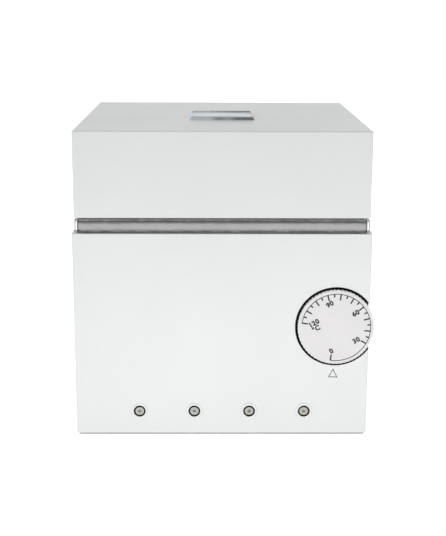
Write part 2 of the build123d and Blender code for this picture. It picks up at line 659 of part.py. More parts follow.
def well_gasket():
    outer = WELL_OUTER + WELL_FLANGE - GASKET_MARGIN
    gasket = ring(DECK_TOP, FLANGE_BOTTOM, WELL_OUTER + GASKET_MARGIN, outer)
    for x, y in well_screw_places():
        gasket -= post(x, y, DECK_TOP - 1, FLANGE_BOTTOM + 1, M3_SHANK + HOLE_CLEARANCE)
    return gasket


def well_screws():
    screw = FACING_DOWN * pan_screw(WELL_SCREW_LENGTH)
    return joined([Pos(x, y, DECK_TOP - DECK_SHEET) * screw for x, y in well_screw_places()])


def band_heater():
    """Open band round the well, with two ears that a bolt draws together."""
    band = ring(HEATER_Z, HEATER_TOP, HEATER_INNER, HEATER_OUTER)
    turn = Rot(0, 0, HEATER_ANGLE)
    band -= turn * block(HEATER_INNER - 5, HEATER_OUTER + 5, -HEATER_GAP / 2, HEATER_GAP / 2,
                         HEATER_Z - 1, HEATER_TOP + 1)
    ear_top = HEATER_TOP - HEATER_EAR_DROP
    for start in (HEATER_GAP / 2, -HEATER_GAP / 2 - HEATER_EAR_SHEET):
        band += turn * block(HEATER_OUTER - HEATER_EAR_ROOT, HEATER_OUTER + HEATER_EAR_REACH,
                             start, start + HEATER_EAR_SHEET, ear_top - HEATER_EAR_HEIGHT, ear_top)
    hole = bar_y(HEATER_OUTER + HEATER_BOLT_OUT, HEATER_BOLT_Z, -10, 10, M3_SHANK + HOLE_CLEARANCE)
    return band - turn * hole


def heater_clamp_bolt():
    seat = HEATER_GAP / 2 + HEATER_EAR_SHEET
    place = Rot(0, 0, HEATER_ANGLE) * Pos(HEATER_OUTER + HEATER_BOLT_OUT, 0, HEATER_BOLT_Z)
    bolt = place * Pos(0, -seat, 0) * FACING_FRONT * pan_screw(2 * seat + BOLT_END)
    return joined([bolt, place * Pos(0, seat, 0) * FACING_BACK * m3_nut()])


def heater_terminals():
    """Two ceramic posts on the band, each with a metal stud."""
    posts = []
    for side in SIDES:
        turn = Rot(0, 0, HEATER_ANGLE + side * TERMINAL_SPREAD)
        ceramic_end = HEATER_OUTER + TERMINAL_POST_LENGTH
        ceramic = turn * bar_x(0, TERMINAL_Z, HEATER_OUTER + TERMINAL_GAP, ceramic_end, TERMINAL_POST_RADIUS)
        stud = turn * bar_x(0, TERMINAL_Z, ceramic_end - 1, TERMINAL_TIP, TERMINAL_STUD_RADIUS)
        posts.append(ceramic + stud)
    return joined(posts)


def insulation_wrap():
    """Fibre blanket round the heater, open where its terminals stand."""
    wrap = ring(WRAP_Z, WRAP_Z + WRAP_HEIGHT, WRAP_INNER, WRAP_OUTER)
    slot = block(WRAP_INNER - 20, WRAP_OUTER + 10, -WRAP_SLOT / 2, WRAP_SLOT / 2,
                 WRAP_Z - 1, WRAP_Z + WRAP_HEIGHT + 1)
    return wrap - Rot(0, 0, HEATER_ANGLE) * slot


def insulation_disc():
    return post(0, 0, SHIELD_TOP, SHIELD_TOP + DISC_THICKNESS, DISC_RADIUS)


def heat_shield():
    """Square plate with cut corners that carries the lower insulation."""
    plate = block(-SHIELD_HALF, SHIELD_HALF, -SHIELD_HALF, SHIELD_HALF, SHIELD_Z, SHIELD_TOP)
    plate = chamfer(plate.edges().filter_by(Axis.Z), SHIELD_CORNER)
    for x, y in SHIELD_XY:
        plate -= post(x, y, SHIELD_Z - 1, SHIELD_TOP + 1, M3_SHANK + HOLE_CLEARANCE)
    return plate


def shield_standoffs():
    """Hexagonal standoffs, riveted in the tray, with a threaded end through the shield."""
    standoff = Pos(0, 0, TRAY_TOP) * extrude(hexagon(STANDOFF_FLATS), SHIELD_RISE)
    standoff += post(0, 0, SHIELD_Z, SHIELD_TOP + STANDOFF_END, M3_SHANK)
    standoff += post(0, 0, TRAY_BOTTOM + STANDOFF_SUNK, TRAY_TOP, M3_SHANK)
    return joined([Pos(x, y, 0) * standoff for x, y in SHIELD_XY])


def shield_nuts():
    return joined([Pos(x, y, SHIELD_TOP) * m3_nut() for x, y in SHIELD_XY])


def thermostat_bracket():
    """Bent plate behind the dial, welded to the front and side walls, that carries the thermostat."""
    low, high = DIAL_Z - DIAL_RADIUS - BRACKET_MARGIN, DIAL_Z + DIAL_RADIUS + BRACKET_MARGIN
    left = DIAL_X - DIAL_RADIUS - DIAL_GAP - BRACKET_SIDE
    bracket = block(left, INNER_X, BRACKET_Y, THERMOSTAT_Y, low, high)
    bracket += block(left, left + SHEET, INNER_FRONT, THERMOSTAT_Y, low, high)
    bracket += block(left - BRACKET_FOOT, left + SHEET, INNER_FRONT, INNER_FRONT + SHEET, low, high)
    bracket += block(INNER_X - SHEET, INNER_X, BRACKET_Y, THERMOSTAT_Y + BRACKET_FOOT, low, high)
    return bracket - bar_y(DIAL_X, DIAL_Z, BRACKET_Y - 1, THERMOSTAT_Y + 1, BUSHING_RADIUS + FIT_GAP)


def thermostat_case():
    """Steel case with the threaded bushing that the spindle turns in."""
    half_w, half_h = THERMOSTAT_WIDTH / 2, THERMOSTAT_HEIGHT / 2
    case = block(DIAL_X - half_w, DIAL_X + half_w, THERMOSTAT_Y, SWITCH_Y, DIAL_Z - half_h, DIAL_Z + half_h)
    case = fillet(case.edges().filter_by(Axis.Y), THERMOSTAT_CORNER_RADIUS)
    case += bar_y(DIAL_X, DIAL_Z, BRACKET_Y - BUSHING_LENGTH, THERMOSTAT_Y, BUSHING_RADIUS)
    bore_radius = SPINDLE_RADIUS + SPINDLE_RUNNING_CLEARANCE
    return case - bar_y(DIAL_X, DIAL_Z, BRACKET_Y - 4, SWITCH_Y - 3, bore_radius)


def thermostat_switch():
    """Ceramic switch block at the back of the case, with four blade terminals."""
    half_w, half_h = THERMOSTAT_WIDTH / 2 - SWITCH_STEP, THERMOSTAT_HEIGHT / 2 - SWITCH_STEP
    switch = block(DIAL_X - half_w, DIAL_X + half_w, SWITCH_Y, SWITCH_BACK_Y,
                   DIAL_Z - half_h, DIAL_Z + half_h)
    switch = chamfer(switch.faces().sort_by(Axis.Y)[-1].edges(), SWITCH_CHAMFER)
    half_t, half_b = BLADE_THICKNESS / 2, BLADE_WIDTH / 2
    for x in BLADE_XS:
        for z in BLADE_ZS:
            switch += block(x - half_t, x + half_t, SWITCH_BACK_Y - BLADE_ROOT, BLADE_TIP_Y,
                            z - half_b, z + half_b)
    return switch


def thermostat_nut():
    flats = FACING_FRONT * extrude(hexagon(BUSHING_NUT_FLATS), BUSHING_NUT_HEIGHT)
    nut = Pos(DIAL_X, BRACKET_Y, DIAL_Z) * flats
    return nut - bar_y(DIAL_X, DIAL_Z, BRACKET_Y - 5, BRACKET_Y + 1, BUSHING_RADIUS + THREAD_CLEARANCE)


def thermostat_spindle():
    """D-section spindle from inside the case to the knob's hub."""
    tip = DIAL_WALL_Y + SPINDLE_TIP_GAP
    spindle = bar_y(DIAL_X, DIAL_Z, tip, SWITCH_Y - 4, SPINDLE_RADIUS)
    return spindle - block(DIAL_X + SPINDLE_FLAT, DIAL_X + 5, tip - 1, tip + SPINDLE_FLAT_LENGTH,
                           DIAL_Z - 5, DIAL_Z + 5)


def dial_knob():
    """Notched knob, hollow behind, with ribs from its rim to a hub that has a D-shaped bore."""
    points = []
    for i in range(2 * DIAL_NOTCHES):
        radius = DIAL_RADIUS if i % 2 else DIAL_RADIUS - DIAL_NOTCH_DEPTH
        points.append(polar(radius, 180 / DIAL_NOTCHES * i))
    outline = make_face(Polyline(*points, close=True))
    grip_front = DIAL_FACE_Y + DIAL_RIM_FACE
    knob = Pos(0, DIAL_BACK_Y, 0) * FACING_FRONT * extrude(outline, DIAL_BACK_Y - grip_front)
    knob += bar_y(0, 0, DIAL_FACE_Y, grip_front, DIAL_RADIUS - DIAL_NOTCH_DEPTH)
    knob = chamfer(knob.faces().sort_by(Axis.Y)[0].edges(), DIAL_RIM_CHAMFER)
    knob -= bar_y(0, 0, DIAL_WALL_Y, DIAL_BACK_Y + 1, DIAL_RADIUS - DIAL_WALL)
    knob += bar_y(0, 0, DIAL_WALL_Y - 0.5, DIAL_BACK_Y - DIAL_HUB_SETBACK, DIAL_HUB_RADIUS)
    rib = block(DIAL_HUB_RADIUS - 1, DIAL_RADIUS - DIAL_WALL + 0.5, DIAL_WALL_Y - 0.5,
                DIAL_BACK_Y - DIAL_RIB_SETBACK, -DIAL_RIB_THICKNESS / 2, DIAL_RIB_THICKNESS / 2)
    knob += [Rot(0, 360 / DIAL_RIBS * i, 0) * rib for i in range(DIAL_RIBS)]
    bore = bar_y(0, 0, DIAL_WALL_Y, DIAL_BACK_Y + 1, SPINDLE_RADIUS + THREAD_CLEARANCE)
    flat_end = DIAL_WALL_Y + SPINDLE_FLAT_LENGTH - 1
    knob -= bore - block(SPINDLE_FLAT + THREAD_CLEARANCE, 6, DIAL_FACE_Y, flat_end, -5, 5)
    knob -= bar_y(0, 0, DIAL_FACE_Y - 1, DIAL_PLATE_Y + DIAL_PLATE_THICKNESS, DIAL_PLATE_RADIUS + FIT_GAP)
    return Pos(DIAL_X, 0, DIAL_Z) * knob


def dial_plate():
    """Thin disc let into the knob's face, which carries the printed scale."""
    return bar_y(DIAL_X, DIAL_Z, DIAL_PLATE_Y, DIAL_PLATE_Y + DIAL_PLATE_THICKNESS, DIAL_PLATE_RADIUS)


def sensor_bulb():
    bulb = bar_x(BULB_Y, BULB_Z, -BULB_LENGTH / 2, BULB_LENGTH / 2, BULB_RADIUS)
    return fillet(bulb.edges().sort_by(Axis.X)[0], BULB_NOSE_RADIUS)


def capillary_tube():
    """Fine tube from the sensor bulb to the underside of the thermostat's case."""
    x, y = DIAL_X - CAPILLARY_LEFT, THERMOSTAT_Y + CAPILLARY_BACK
    points = [(BULB_LENGTH / 2, BULB_Y, BULB_Z), (50, BULB_Y, BULB_Z), (66, -50, BULB_Z), (x, y, BULB_Z),
              (x, y, DIAL_Z - THERMOSTAT_HEIGHT / 2)]
    print("capillary bend radii", CAPILLARY_BENDS)
    return tube(points, CAPILLARY_BENDS, CAPILLARY_RADIUS)


def bulb_clip():
    """Saddle that holds the bulb up against the floor of the well."""
    half = CLIP_LENGTH / 2
    clip = bar_x(BULB_Y, BULB_Z, -half, half, BULB_RADIUS + CLIP_SHEET)
    clip += block(-half, half, BULB_Y - CLIP_HALF, BULB_Y + CLIP_HALF,
                  WELL_UNDERSIDE - CLIP_SHEET, WELL_UNDERSIDE)
    clip -= bar_x(BULB_Y, BULB_Z, -half - 1, half + 1, BULB_RADIUS + 0.05)
    clip -= block(-half - 1, half + 1, BULB_Y - 3, BULB_Y + 3, WELL_UNDERSIDE, WELL_UNDERSIDE + 2)
    clip -= block(-half - 1, half + 1, BULB_Y - 2, BULB_Y + 2, BULB_Z + 1, WELL_UNDERSIDE + 2)
    for x, y in FLOOR_SCREW_XY[2:]:
        clip -= post(x, y, WELL_UNDERSIDE - 2, WELL_UNDERSIDE + 1, M3_SHANK + HOLE_CLEARANCE)
    return clip


def thermal_cutout():
    """Disc cut-out under the well, with a mounting flange and two blades."""
    cutout = post(CUTOUT_X, CUTOUT_Y, WELL_UNDERSIDE - CUTOUT_HEIGHT, WELL_UNDERSIDE, CUTOUT_RADIUS)
    half_w = CUTOUT_FLANGE_WIDTH / 2
    near, far = CUTOUT_Y - CUTOUT_FLANGE_HALF, CUTOUT_Y + CUTOUT_FLANGE_HALF
    flange = block(CUTOUT_X - half_w, CUTOUT_X + half_w, near, far, WELL_UNDERSIDE - CLIP_SHEET, WELL_UNDERSIDE)
    cutout += fillet(flange.edges().filter_by(Axis.Z), half_w - 0.5)
    half_t, half_b = BLADE_THICKNESS / 2, BLADE_WIDTH / 2
    for side in SIDES:
        cutout += block(CUTOUT_X + side * (CUTOUT_RADIUS - 1.5), CUTOUT_X + side * CUTOUT_BLADE_REACH,
                        CUTOUT_Y - half_b, CUTOUT_Y + half_b, CUTOUT_Z - half_t, CUTOUT_Z + half_t)
    for x, y in FLOOR_SCREW_XY[:2]:
        cutout -= post(x, y, WELL_UNDERSIDE - 2, WELL_UNDERSIDE + 1, M3_SHANK + HOLE_CLEARANCE)
    return cutout


def floor_screws():
    """Four screws in the floor of the well: two for the cut-out and two for the bulb clip."""
    screw = FACING_DOWN * pan_screw(FLOOR_SCREW_LENGTH)
    return joined([Pos(x, y, WELL_UNDERSIDE - CLIP_SHEET) * screw for x, y in FLOOR_SCREW_XY])


def inlet_socket():
    """Three-pin mains inlet with a flange outside the rear panel."""
    half_w, half_h = INLET_WIDTH / 2, INLET_HEIGHT / 2
    flange_y = BACK + INLET_FLANGE_THICKNESS
    floor_y = BACK - INLET_DEPTH + INLET_FLOOR
    socket = block(INLET_X - half_w, INLET_X + half_w, BACK - INLET_DEPTH, BACK + 1,
                   INLET_Z - half_h, INLET_Z + half_h)
    flange = block(INLET_X - INLET_FLANGE_WIDTH / 2, INLET_X + INLET_FLANGE_WIDTH / 2, BACK, flange_y,
                   INLET_Z - INLET_FLANGE_HEIGHT / 2, INLET_Z + INLET_FLANGE_HEIGHT / 2)
    socket += chamfer(flange.edges().filter_by(Axis.Y), INLET_FLANGE_CORNER)
    inner_w, inner_h = half_w - INLET_SIDE_WALL, half_h - INLET_TOP_WALL
    cavity = block(INLET_X - inner_w, INLET_X + inner_w, floor_y, flange_y + 1,
                   INLET_Z - inner_h, INLET_Z + inner_h)
    socket -= chamfer(cavity.edges().filter_by(Axis.Y).group_by(Axis.Z)[0], INLET_KEY)
    for x, z in PIN_XZ:
        socket -= pin_bar(x, z, BACK - INLET_DEPTH - 1, BACK)
    hole = FACING_BACK * flat_screw(8.0, HOLE_CLEARANCE)
    return socket - [Pos(x, flange_y, INLET_Z) * hole for x in INLET_SCREW_XS]


def pin_bar(x, z, y0, y1):
    """Rectangular bar of the pins' section."""
    return block(x - PIN_WIDTH / 2, x + PIN_WIDTH / 2, y0, y1, z - PIN_HEIGHT / 2, z + PIN_HEIGHT / 2)


def inlet_pins():
    pins = []
    for x, z in PIN_XZ:
        pin = pin_bar(x, z, PIN_TAIL_Y, BACK - PIN_SETBACK)
        pins.append(chamfer(pin.faces().sort_by(Axis.Y)[-1].edges(), PIN_NOSE))
    return joined(pins)


def inlet_screws():
    screw = FACING_BACK * flat_screw(INLET_SCREW_LENGTH)
    return joined([Pos(x, BACK + INLET_FLANGE_THICKNESS, INLET_Z) * screw for x in INLET_SCREW_XS])


def rear_panel_nuts():
    """Six alike nuts inside the rear panel: two for the inlet and four for the hinges."""
    places = [(x, INLET_Z) for x in INLET_SCREW_XS] + [(x, HINGE_BODY_SCREW_Z) for x in HINGE_SCREW_XS]
    return joined([Pos(x, INNER_BACK, z) * FACING_FRONT * m3_nut() for x, z in places])


def earth_stud():
    return post(EARTH_X, EARTH_Y, TRAY_TOP, TRAY_TOP + EARTH_STUD_HEIGHT, EARTH_STUD_RADIUS)


def earth_lug():
    """Ring lug under the nut, with the barrel that grips its lead."""
    top = TRAY_TOP + LUG_SHEET
    lug = post(EARTH_X, EARTH_Y, TRAY_TOP, top, LUG_RADIUS)
    lug += block(EARTH_X - LUG_BARREL_RADIUS, EARTH_X + LUG_BARREL_RADIUS,
                 EARTH_Y, EARTH_Y + LUG_BARREL_START + 1, TRAY_TOP, top)
    lug += bar_y(EARTH_X, LUG_BARREL_Z, EARTH_Y + LUG_BARREL_START, EARTH_Y + LUG_REACH, LUG_BARREL_RADIUS)
    return lug - post(EARTH_X, EARTH_Y, TRAY_TOP - 1, TRAY_TOP + 3, EARTH_STUD_RADIUS + HOLE_CLEARANCE)


def earth_nut():
    nut = hex_nut(EARTH_NUT_FLATS, EARTH_NUT_HEIGHT, EARTH_STUD_RADIUS)
    return Pos(EARTH_X, EARTH_Y, TRAY_TOP + LUG_SHEET) * nut


def lead(points):
    """Insulated lead with every bend as round as its two runs allow."""
    radii = []
    for before, here, after in zip(points, points[1:], points[2:]):
        run_in, run_out = Vector(*here) - Vector(*before), Vector(*after) - Vector(*here)
        half_turn = math.radians(run_in.get_angle(run_out) / 2)
        radii.append(0.45 * min(run_in.length, run_out.length) / math.tan(half_turn))
    print("lead bend radii", [round(radius, 1) for radius in radii])
    return tube(points, radii, LEAD_RADIUS)


def terminal_point(side, reach):
    """Point on a heater terminal's axis, a distance past its tip."""
    x, y = polar(TERMINAL_TIP + reach, HEATER_ANGLE + side * TERMINAL_SPREAD)
    return (x, y, TERMINAL_Z)


def lead_live():
    x, z = BLADE_XS[1], BLADE_ZS[1]
    return lead([LIVE_PIN, (LIVE_PIN[0], 67, LIVE_PIN[2]), (-40, 57, 13), (-20, 10, 11), (30, -24, 11),
                 (84, -30, 13), (92, -34, 30), (93, -36, 76), (x, -38, z), (x, BLADE_TIP_Y, z)])


def lead_switched():
    x, z = BLADE_XS[0], BLADE_ZS[0]
    tip = CUTOUT_X + CUTOUT_BLADE_REACH
    return lead([(x, BLADE_TIP_Y, z), (x, -44, z), (84, -34, 58), (82, -16, 47),
                 (40, 18, CUTOUT_Z), (tip + 8, CUTOUT_Y, CUTOUT_Z), (tip, CUTOUT_Y, CUTOUT_Z)])


def lead_cutout():
    tip = CUTOUT_X - CUTOUT_BLADE_REACH
    return lead([(tip, CUTOUT_Y, CUTOUT_Z), (tip - 10, CUTOUT_Y, CUTOUT_Z), (-58, 40, CUTOUT_Z),
                 (-76, 52, 54), terminal_point(1, 10), terminal_point(1, 0)])


def lead_neutral():
    return lead([terminal_point(-1, 0), terminal_point(-1, 8), (-64, 80, 66), (-68, 76, 54), (-67, 64, 42),
                 (-67, 60, 32), (-67, 66, 27), NEUTRAL_PIN])


def lead_earth():
    return lead([EARTH_PIN, (INLET_X, 68, EARTH_PIN[2]), (-61, 66, 16), (-72, 70, 9),
                 (EARTH_X, 70, LUG_BARREL_Z), (EARTH_X, EARTH_Y + LUG_REACH, LUG_BARREL_Z)])


def knuckle_span(centre, index):
    """Ends, along X, of one hinge knuckle."""
    pitch = HINGE_LENGTH / KNUCKLES
    start = centre - HINGE_LENGTH / 2 + index * pitch
    return start + KNUCKLE_GAP / 2, start + pitch - KNUCKLE_GAP / 2


def pin_bore(centre, clearance):
    """Space for one hinge pin, with a radial clearance."""
    half = HINGE_LENGTH / 2 + 8
    return bar_x(HINGE_AXIS_Y, HINGE_AXIS_Z, centre - half, centre + half, HINGE_PIN_RADIUS + clearance)


def hinge_body_leaves():
    """Two leaves on the rear panel that carry the end and middle knuckles."""
    leaves = []
    sheet_top = HINGE_AXIS_Z - KNUCKLE_RADIUS - LEAF_GAP
    back = BACK + LEAF_SHEET
    hole = FACING_BACK * flat_screw(4.0, HOLE_CLEARANCE)
    for side in SIDES:
        centre = side * HINGE_X
        leaf = block(centre - HINGE_LENGTH / 2, centre + HINGE_LENGTH / 2, BACK, back,
                     sheet_top - LEAF_DROP, sheet_top)
        leaf = fillet(leaf.edges().filter_by(Axis.Y).group_by(Axis.Z)[0], LEAF_CORNER_RADIUS)
        for index in range(0, KNUCKLES, 2):
            x0, x1 = knuckle_span(centre, index)
            leaf += block(x0, x1, BACK, back, sheet_top - 1, HINGE_AXIS_Z)
            leaf += bar_x(HINGE_AXIS_Y, HINGE_AXIS_Z, x0, x1, KNUCKLE_RADIUS)
        leaf -= pin_bore(centre, THREAD_CLEARANCE)
        leaves.append(leaf - [Pos(x, back, HINGE_BODY_SCREW_Z) * hole for x in HINGE_SCREW_XS])
    return joined(leaves)


def hinge_lid_leaves():
    """Two cranked leaves on the back of the lid that carry the knuckles in between."""
    leaves = []
    sheet_bottom = LID_BOTTOM + LEAF_RISE
    back = LID_Y + LEAF_SHEET
    hole = FACING_BACK * flat_screw(4.0, HOLE_CLEARANCE)
    for side in SIDES:
        centre = side * HINGE_X
        leaf = block(centre - HINGE_LENGTH / 2, centre + HINGE_LENGTH / 2, LID_Y, back,
                     sheet_bottom, HINGE_AXIS_Z + LEAF_DROP)
        leaf = fillet(leaf.edges().filter_by(Axis.Y).group_by(Axis.Z)[-1], LEAF_CORNER_RADIUS)
        for index in range(1, KNUCKLES, 2):
            x0, x1 = knuckle_span(centre, index)
            leaf += block(x0, x1, LID_Y, HINGE_AXIS_Y, sheet_bottom, sheet_bottom + LEAF_ARM)
            leaf += bar_x(HINGE_AXIS_Y, HINGE_AXIS_Z, x0, x1, KNUCKLE_RADIUS)
        leaf -= pin_bore(centre, HINGE_RUNNING_CLEARANCE)
        leaves.append(leaf - [Pos(x, back, HINGE_LID_SCREW_Z) * hole for x in HINGE_SCREW_XS])
    return joined(leaves)


def hinge_pins():
    half = HINGE_LENGTH / 2 - KNUCKLE_GAP / 2
    pin = bar_x(HINGE_AXIS_Y, HINGE_AXIS_Z, -half, half, HINGE_PIN_RADIUS)
    return joined([Pos(side * HINGE_X, 0, 0) * pin for side in SIDES])


def hinge_body_screws():
    screw = FACING_BACK * flat_screw(HINGE_SCREW_LENGTH)
    return joined([Pos(x, BACK + LEAF_SHEET, HINGE_BODY_SCREW_Z) * screw for x in HINGE_SCREW_XS])


def hinge_lid_screws():
    screw = FACING_BACK * flat_screw(HINGE_SCREW_LENGTH)
    return joined([Pos(x, LID_Y + LEAF_SHEET, HINGE_LID_SCREW_Z) * screw for x in HINGE_SCREW_XS])


def hinge_lid_nuts():
    nut = FACING_FRONT * m3_nut()
    return joined([Pos(x, LID_Y - SHEET, HINGE_LID_SCREW_Z) * nut for x in HINGE_SCREW_XS])


def lid_shell():
    """Five-sided folded lid with a return flange inside its lower edge."""
    lid = block(-LID_X, LID_X, -LID_Y, LID_Y, LID_BOTTOM, LID_TOP)
    sharp = lid.edges().filter_by(Axis.Z) + lid.faces().sort_by(Axis.Z)[-1].edges()
    lid = fillet(sharp, LID_EDGE_RADIUS)
    inner_x, inner_y = LID_X - SHEET, LID_Y - SHEET
    lid -= block(-inner_x, inner_x, -inner_y, inner_y, LID_BOTTOM + SHEET, LID_TOP - SHEET)
    open_x, open_y = LID_X - LID_FLANGE, LID_Y - LID_FLANGE
    lid -= block(-open_x, open_x, -open_y, open_y, LID_BOTTOM - 1, LID_BOTTOM + SHEET + 1)
    for side in SIDES:
        lid -= post(side * BADGE_STUD_X, -BADGE_FORWARD, LID_TOP - 5, LID_TOP + 1,
                    BADGE_STUD_RADIUS + HOLE_CLEARANCE)
    for x, y in BUMPER_XY:
        lid -= post(x, y, LID_BOTTOM - 1, LID_BOTTOM + 3, BUMPER_STEM_RADIUS + FIT_GAP)
    for x in HINGE_SCREW_XS:
        lid -= bar_y(x, HINGE_LID_SCREW_Z, inner_y - 1, LID_Y + 1, M3_SHANK + HOLE_CLEARANCE)
    return lid


def lid_bumpers():
    """Rubber bumpers pushed up through the lid's flange, which rest on the deck."""
    barb_z = LID_BOTTOM + SHEET
    bumper = post(0, 0, DECK_TOP, LID_BOTTOM, BUMPER_RADIUS)
    bumper += post(0, 0, LID_BOTTOM, barb_z, BUMPER_STEM_RADIUS)
    bumper += Pos(0, 0, barb_z + 1) * Cone(BUMPER_STEM_RADIUS + 0.8, BUMPER_STEM_RADIUS - 0.3, 2)
    return joined([Pos(x, y, 0) * bumper for x, y in BUMPER_XY])


def lid_badge():
    """Bare badge with sloping sides and a shallow recess in its face, on two studs through the lid."""
    outline = RectangleRounded(BADGE_WIDTH, BADGE_DEPTH, BADGE_CORNER_RADIUS)
    plate = extrude(outline, BADGE_THICKNESS, taper=BADGE_SLOPE)
    recess = RectangleRounded(BADGE_WIDTH - 2 * BADGE_RECESS_INSET, BADGE_DEPTH - 2 * BADGE_RECESS_INSET,
                              BADGE_RECESS_CORNER)
    plate -= Pos(0, 0, BADGE_THICKNESS - BADGE_RECESS) * extrude(recess, BADGE_THICKNESS)
    for side in SIDES:
        plate += post(side * BADGE_STUD_X, 0, -SHEET - BADGE_STUD_LENGTH, 0.5, BADGE_STUD_RADIUS)
    return Pos(0, -BADGE_FORWARD, LID_TOP) * plate


def badge_clips():
    """Push-on washers that hold the badge's studs under the lid."""
    under = LID_TOP - SHEET
    clip = post(0, 0, under - BADGE_CLIP_THICKNESS, under, BADGE_CLIP_RADIUS)
    clip -= post(0, 0, under - 3, under + 1, BADGE_STUD_RADIUS + THREAD_CLEARANCE)
    return joined([Pos(side * BADGE_STUD_X, -BADGE_FORWARD, 0) * clip for side in SIDES])


def wax_pot():
    """Slightly tapered aluminium pot that hangs by its flat rim on the flange of the well."""
    low = POT_OUTER - POT_TAPER
    height = FLANGE_TOP - POT_BOTTOM
    outside = Pos(0, 0, POT_BOTTOM + height / 2) * Cone(low, POT_OUTER, height)
    outside = fillet(outside.edges().sort_by(Axis.Z)[0], POT_CORNER_RADIUS)
    pot = outside + post(0, 0, FLANGE_TOP, POT_TOP, POT_RIM_RADIUS)
    inner_height = POT_TOP - POT_BOTTOM - POT_WALL
    inside = Pos(0, 0, POT_BOTTOM + POT_WALL + inner_height / 2) * Cone(
        low - POT_WALL, POT_OUTER - POT_WALL, inner_height)
    return pot - fillet(inside.edges().sort_by(Axis.Z)[0], POT_CORNER_RADIUS - POT_WALL)


def pot_ears():
    """Two upright ears, welded to the pot's rim, that carry the bail."""
    half = EAR_WIDTH / 2
    ear = block(0, EAR_SHEET, -half, half, POT_TOP, BAIL_PIVOT_Z)
    ear += bar_x(0, BAIL_PIVOT_Z, 0, EAR_SHEET, half)
    ear -= block(-1, EAR_SHEET + 1, -half - 1, half + 1, POT_TOP - half, POT_TOP)
    ear += block(-EAR_FOOT, EAR_SHEET, -half, half, POT_TOP, POT_TOP + EAR_SHEET)
    ear -= bar_x(0, BAIL_PIVOT_Z, -5, 5, BAIL_RADIUS + BAIL_CLEARANCE)
    right = Pos(EAR_X - EAR_SHEET, 0, 0) * ear
    return joined([right, mirror(right, about=Plane.YZ)])


def pot_bail():
    """Bent wire handle, stored lying forward across the pot's mouth."""
    inside, outside = EAR_X - BAIL_END_IN, EAR_X + BAIL_RADIUS + BAIL_SIDE_GAP
    right = [(inside, 0), (outside, 0), (outside, BAIL_REACH)]
    points = right + [(-x, reach) for x, reach in reversed(right)]
    lean = math.asin(BAIL_DROP / BAIL_REACH)
    plane = Plane(origin=(0, 0, BAIL_PIVOT_Z), x_dir=(1, 0, 0), z_dir=(0, math.sin(lean), -math.cos(lean)))
    bends = [BAIL_END_RADIUS, BAIL_CORNER_RADIUS, BAIL_CORNER_RADIUS, BAIL_END_RADIUS]
    path = plane * FilletPolyline(*points, radius=bends)
    section = Plane(origin=path @ 0, z_dir=path % 0) * Circle(BAIL_RADIUS)
    return sweep(section, path=path)


NODES = [
    body_shell, rear_panel, base_tray, feet, foot_screws, foot_nuts,
    screw_cups, front_screws, front_nuts, rear_screws,
    deck, deck_screws, heating_well, well_gasket, well_screws,
    band_heater, heater_clamp_bolt, heater_terminals, insulation_wrap, insulation_disc,
    heat_shield, shield_standoffs, shield_nuts,
    thermostat_bracket, thermostat_case, thermostat_switch, thermostat_nut,
    sensor_bulb, capillary_tube, bulb_clip, thermal_cutout, floor_screws,
    inlet_socket, inlet_pins, inlet_screws, rear_panel_nuts,
    earth_stud, earth_lug, earth_nut,
    lead_live, lead_switched, lead_cutout, lead_neutral, lead_earth,
    hinge_body_leaves, hinge_pins, hinge_body_screws,
    lid_shell, lid_bumpers, lid_badge, badge_clips, hinge_lid_leaves, hinge_lid_screws, hinge_lid_nuts,
    dial_knob, dial_plate, thermostat_spindle,
    wax_pot, pot_ears, pot_bail,
]

os.makedirs("parts", exist_ok=True)
for make in NODES:
    export_step(make(), f"parts/{make.__name__}.step")
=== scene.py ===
"""Looks of a square white wax warmer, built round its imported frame.

Sizes are in metres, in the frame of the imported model: +Z is up, the front faces -Y, and z = 0 is
the surface that the feet stand on.
"""

from __future__ import annotations

import functools
import json
import logging
import math
from dataclasses import dataclass
from enum import Enum

import bmesh
import bpy
from mathutils import Matrix, Vector


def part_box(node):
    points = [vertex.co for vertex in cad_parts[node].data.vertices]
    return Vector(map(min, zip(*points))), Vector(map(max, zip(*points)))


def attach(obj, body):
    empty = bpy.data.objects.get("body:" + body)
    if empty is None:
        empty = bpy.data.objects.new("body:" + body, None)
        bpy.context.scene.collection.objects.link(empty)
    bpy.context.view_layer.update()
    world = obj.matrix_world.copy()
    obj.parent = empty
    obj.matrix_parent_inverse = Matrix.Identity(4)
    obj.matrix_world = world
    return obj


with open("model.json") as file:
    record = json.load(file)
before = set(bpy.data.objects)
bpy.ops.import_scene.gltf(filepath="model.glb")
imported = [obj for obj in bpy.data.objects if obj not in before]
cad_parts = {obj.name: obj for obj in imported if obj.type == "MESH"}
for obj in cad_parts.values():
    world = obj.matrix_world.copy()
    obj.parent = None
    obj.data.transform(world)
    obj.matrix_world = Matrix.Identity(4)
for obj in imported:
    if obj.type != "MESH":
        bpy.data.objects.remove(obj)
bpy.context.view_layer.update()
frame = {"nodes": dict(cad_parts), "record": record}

LOG = logging.getLogger("wax_warmer")
WHITE = (1.0, 1.0, 1.0, 1.0)

Colour = tuple[float, float, float]
Place = tuple[float, float, float]
Point = tuple[float, float]
Span = tuple[float, float]
Socket = bpy.types.NodeSocket


class Body(Enum):
    """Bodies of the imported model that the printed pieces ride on."""

    BASE = "base"
    DIAL = "dial"


class OwnFinish(Enum):
    """Finishes beyond the material slots of the record."""

    SCREW_STEEL = "front_screw_steel"
    DIAL_FACE = "dial_face"
    SCALE_INK = "scale_ink"


class Mixed(Enum):
    """What a Mix node mixes: its data type, the places of its two inputs, and its output's."""

    NUMBERS = ("FLOAT", 2, 3, 0)
    COLOURS = ("RGBA", 6, 7, 2)


@dataclass(frozen=True)
class Grit:
    """How many finer layers a noise has, and how strong each is beside the one before."""

    layers: float
    strength: float


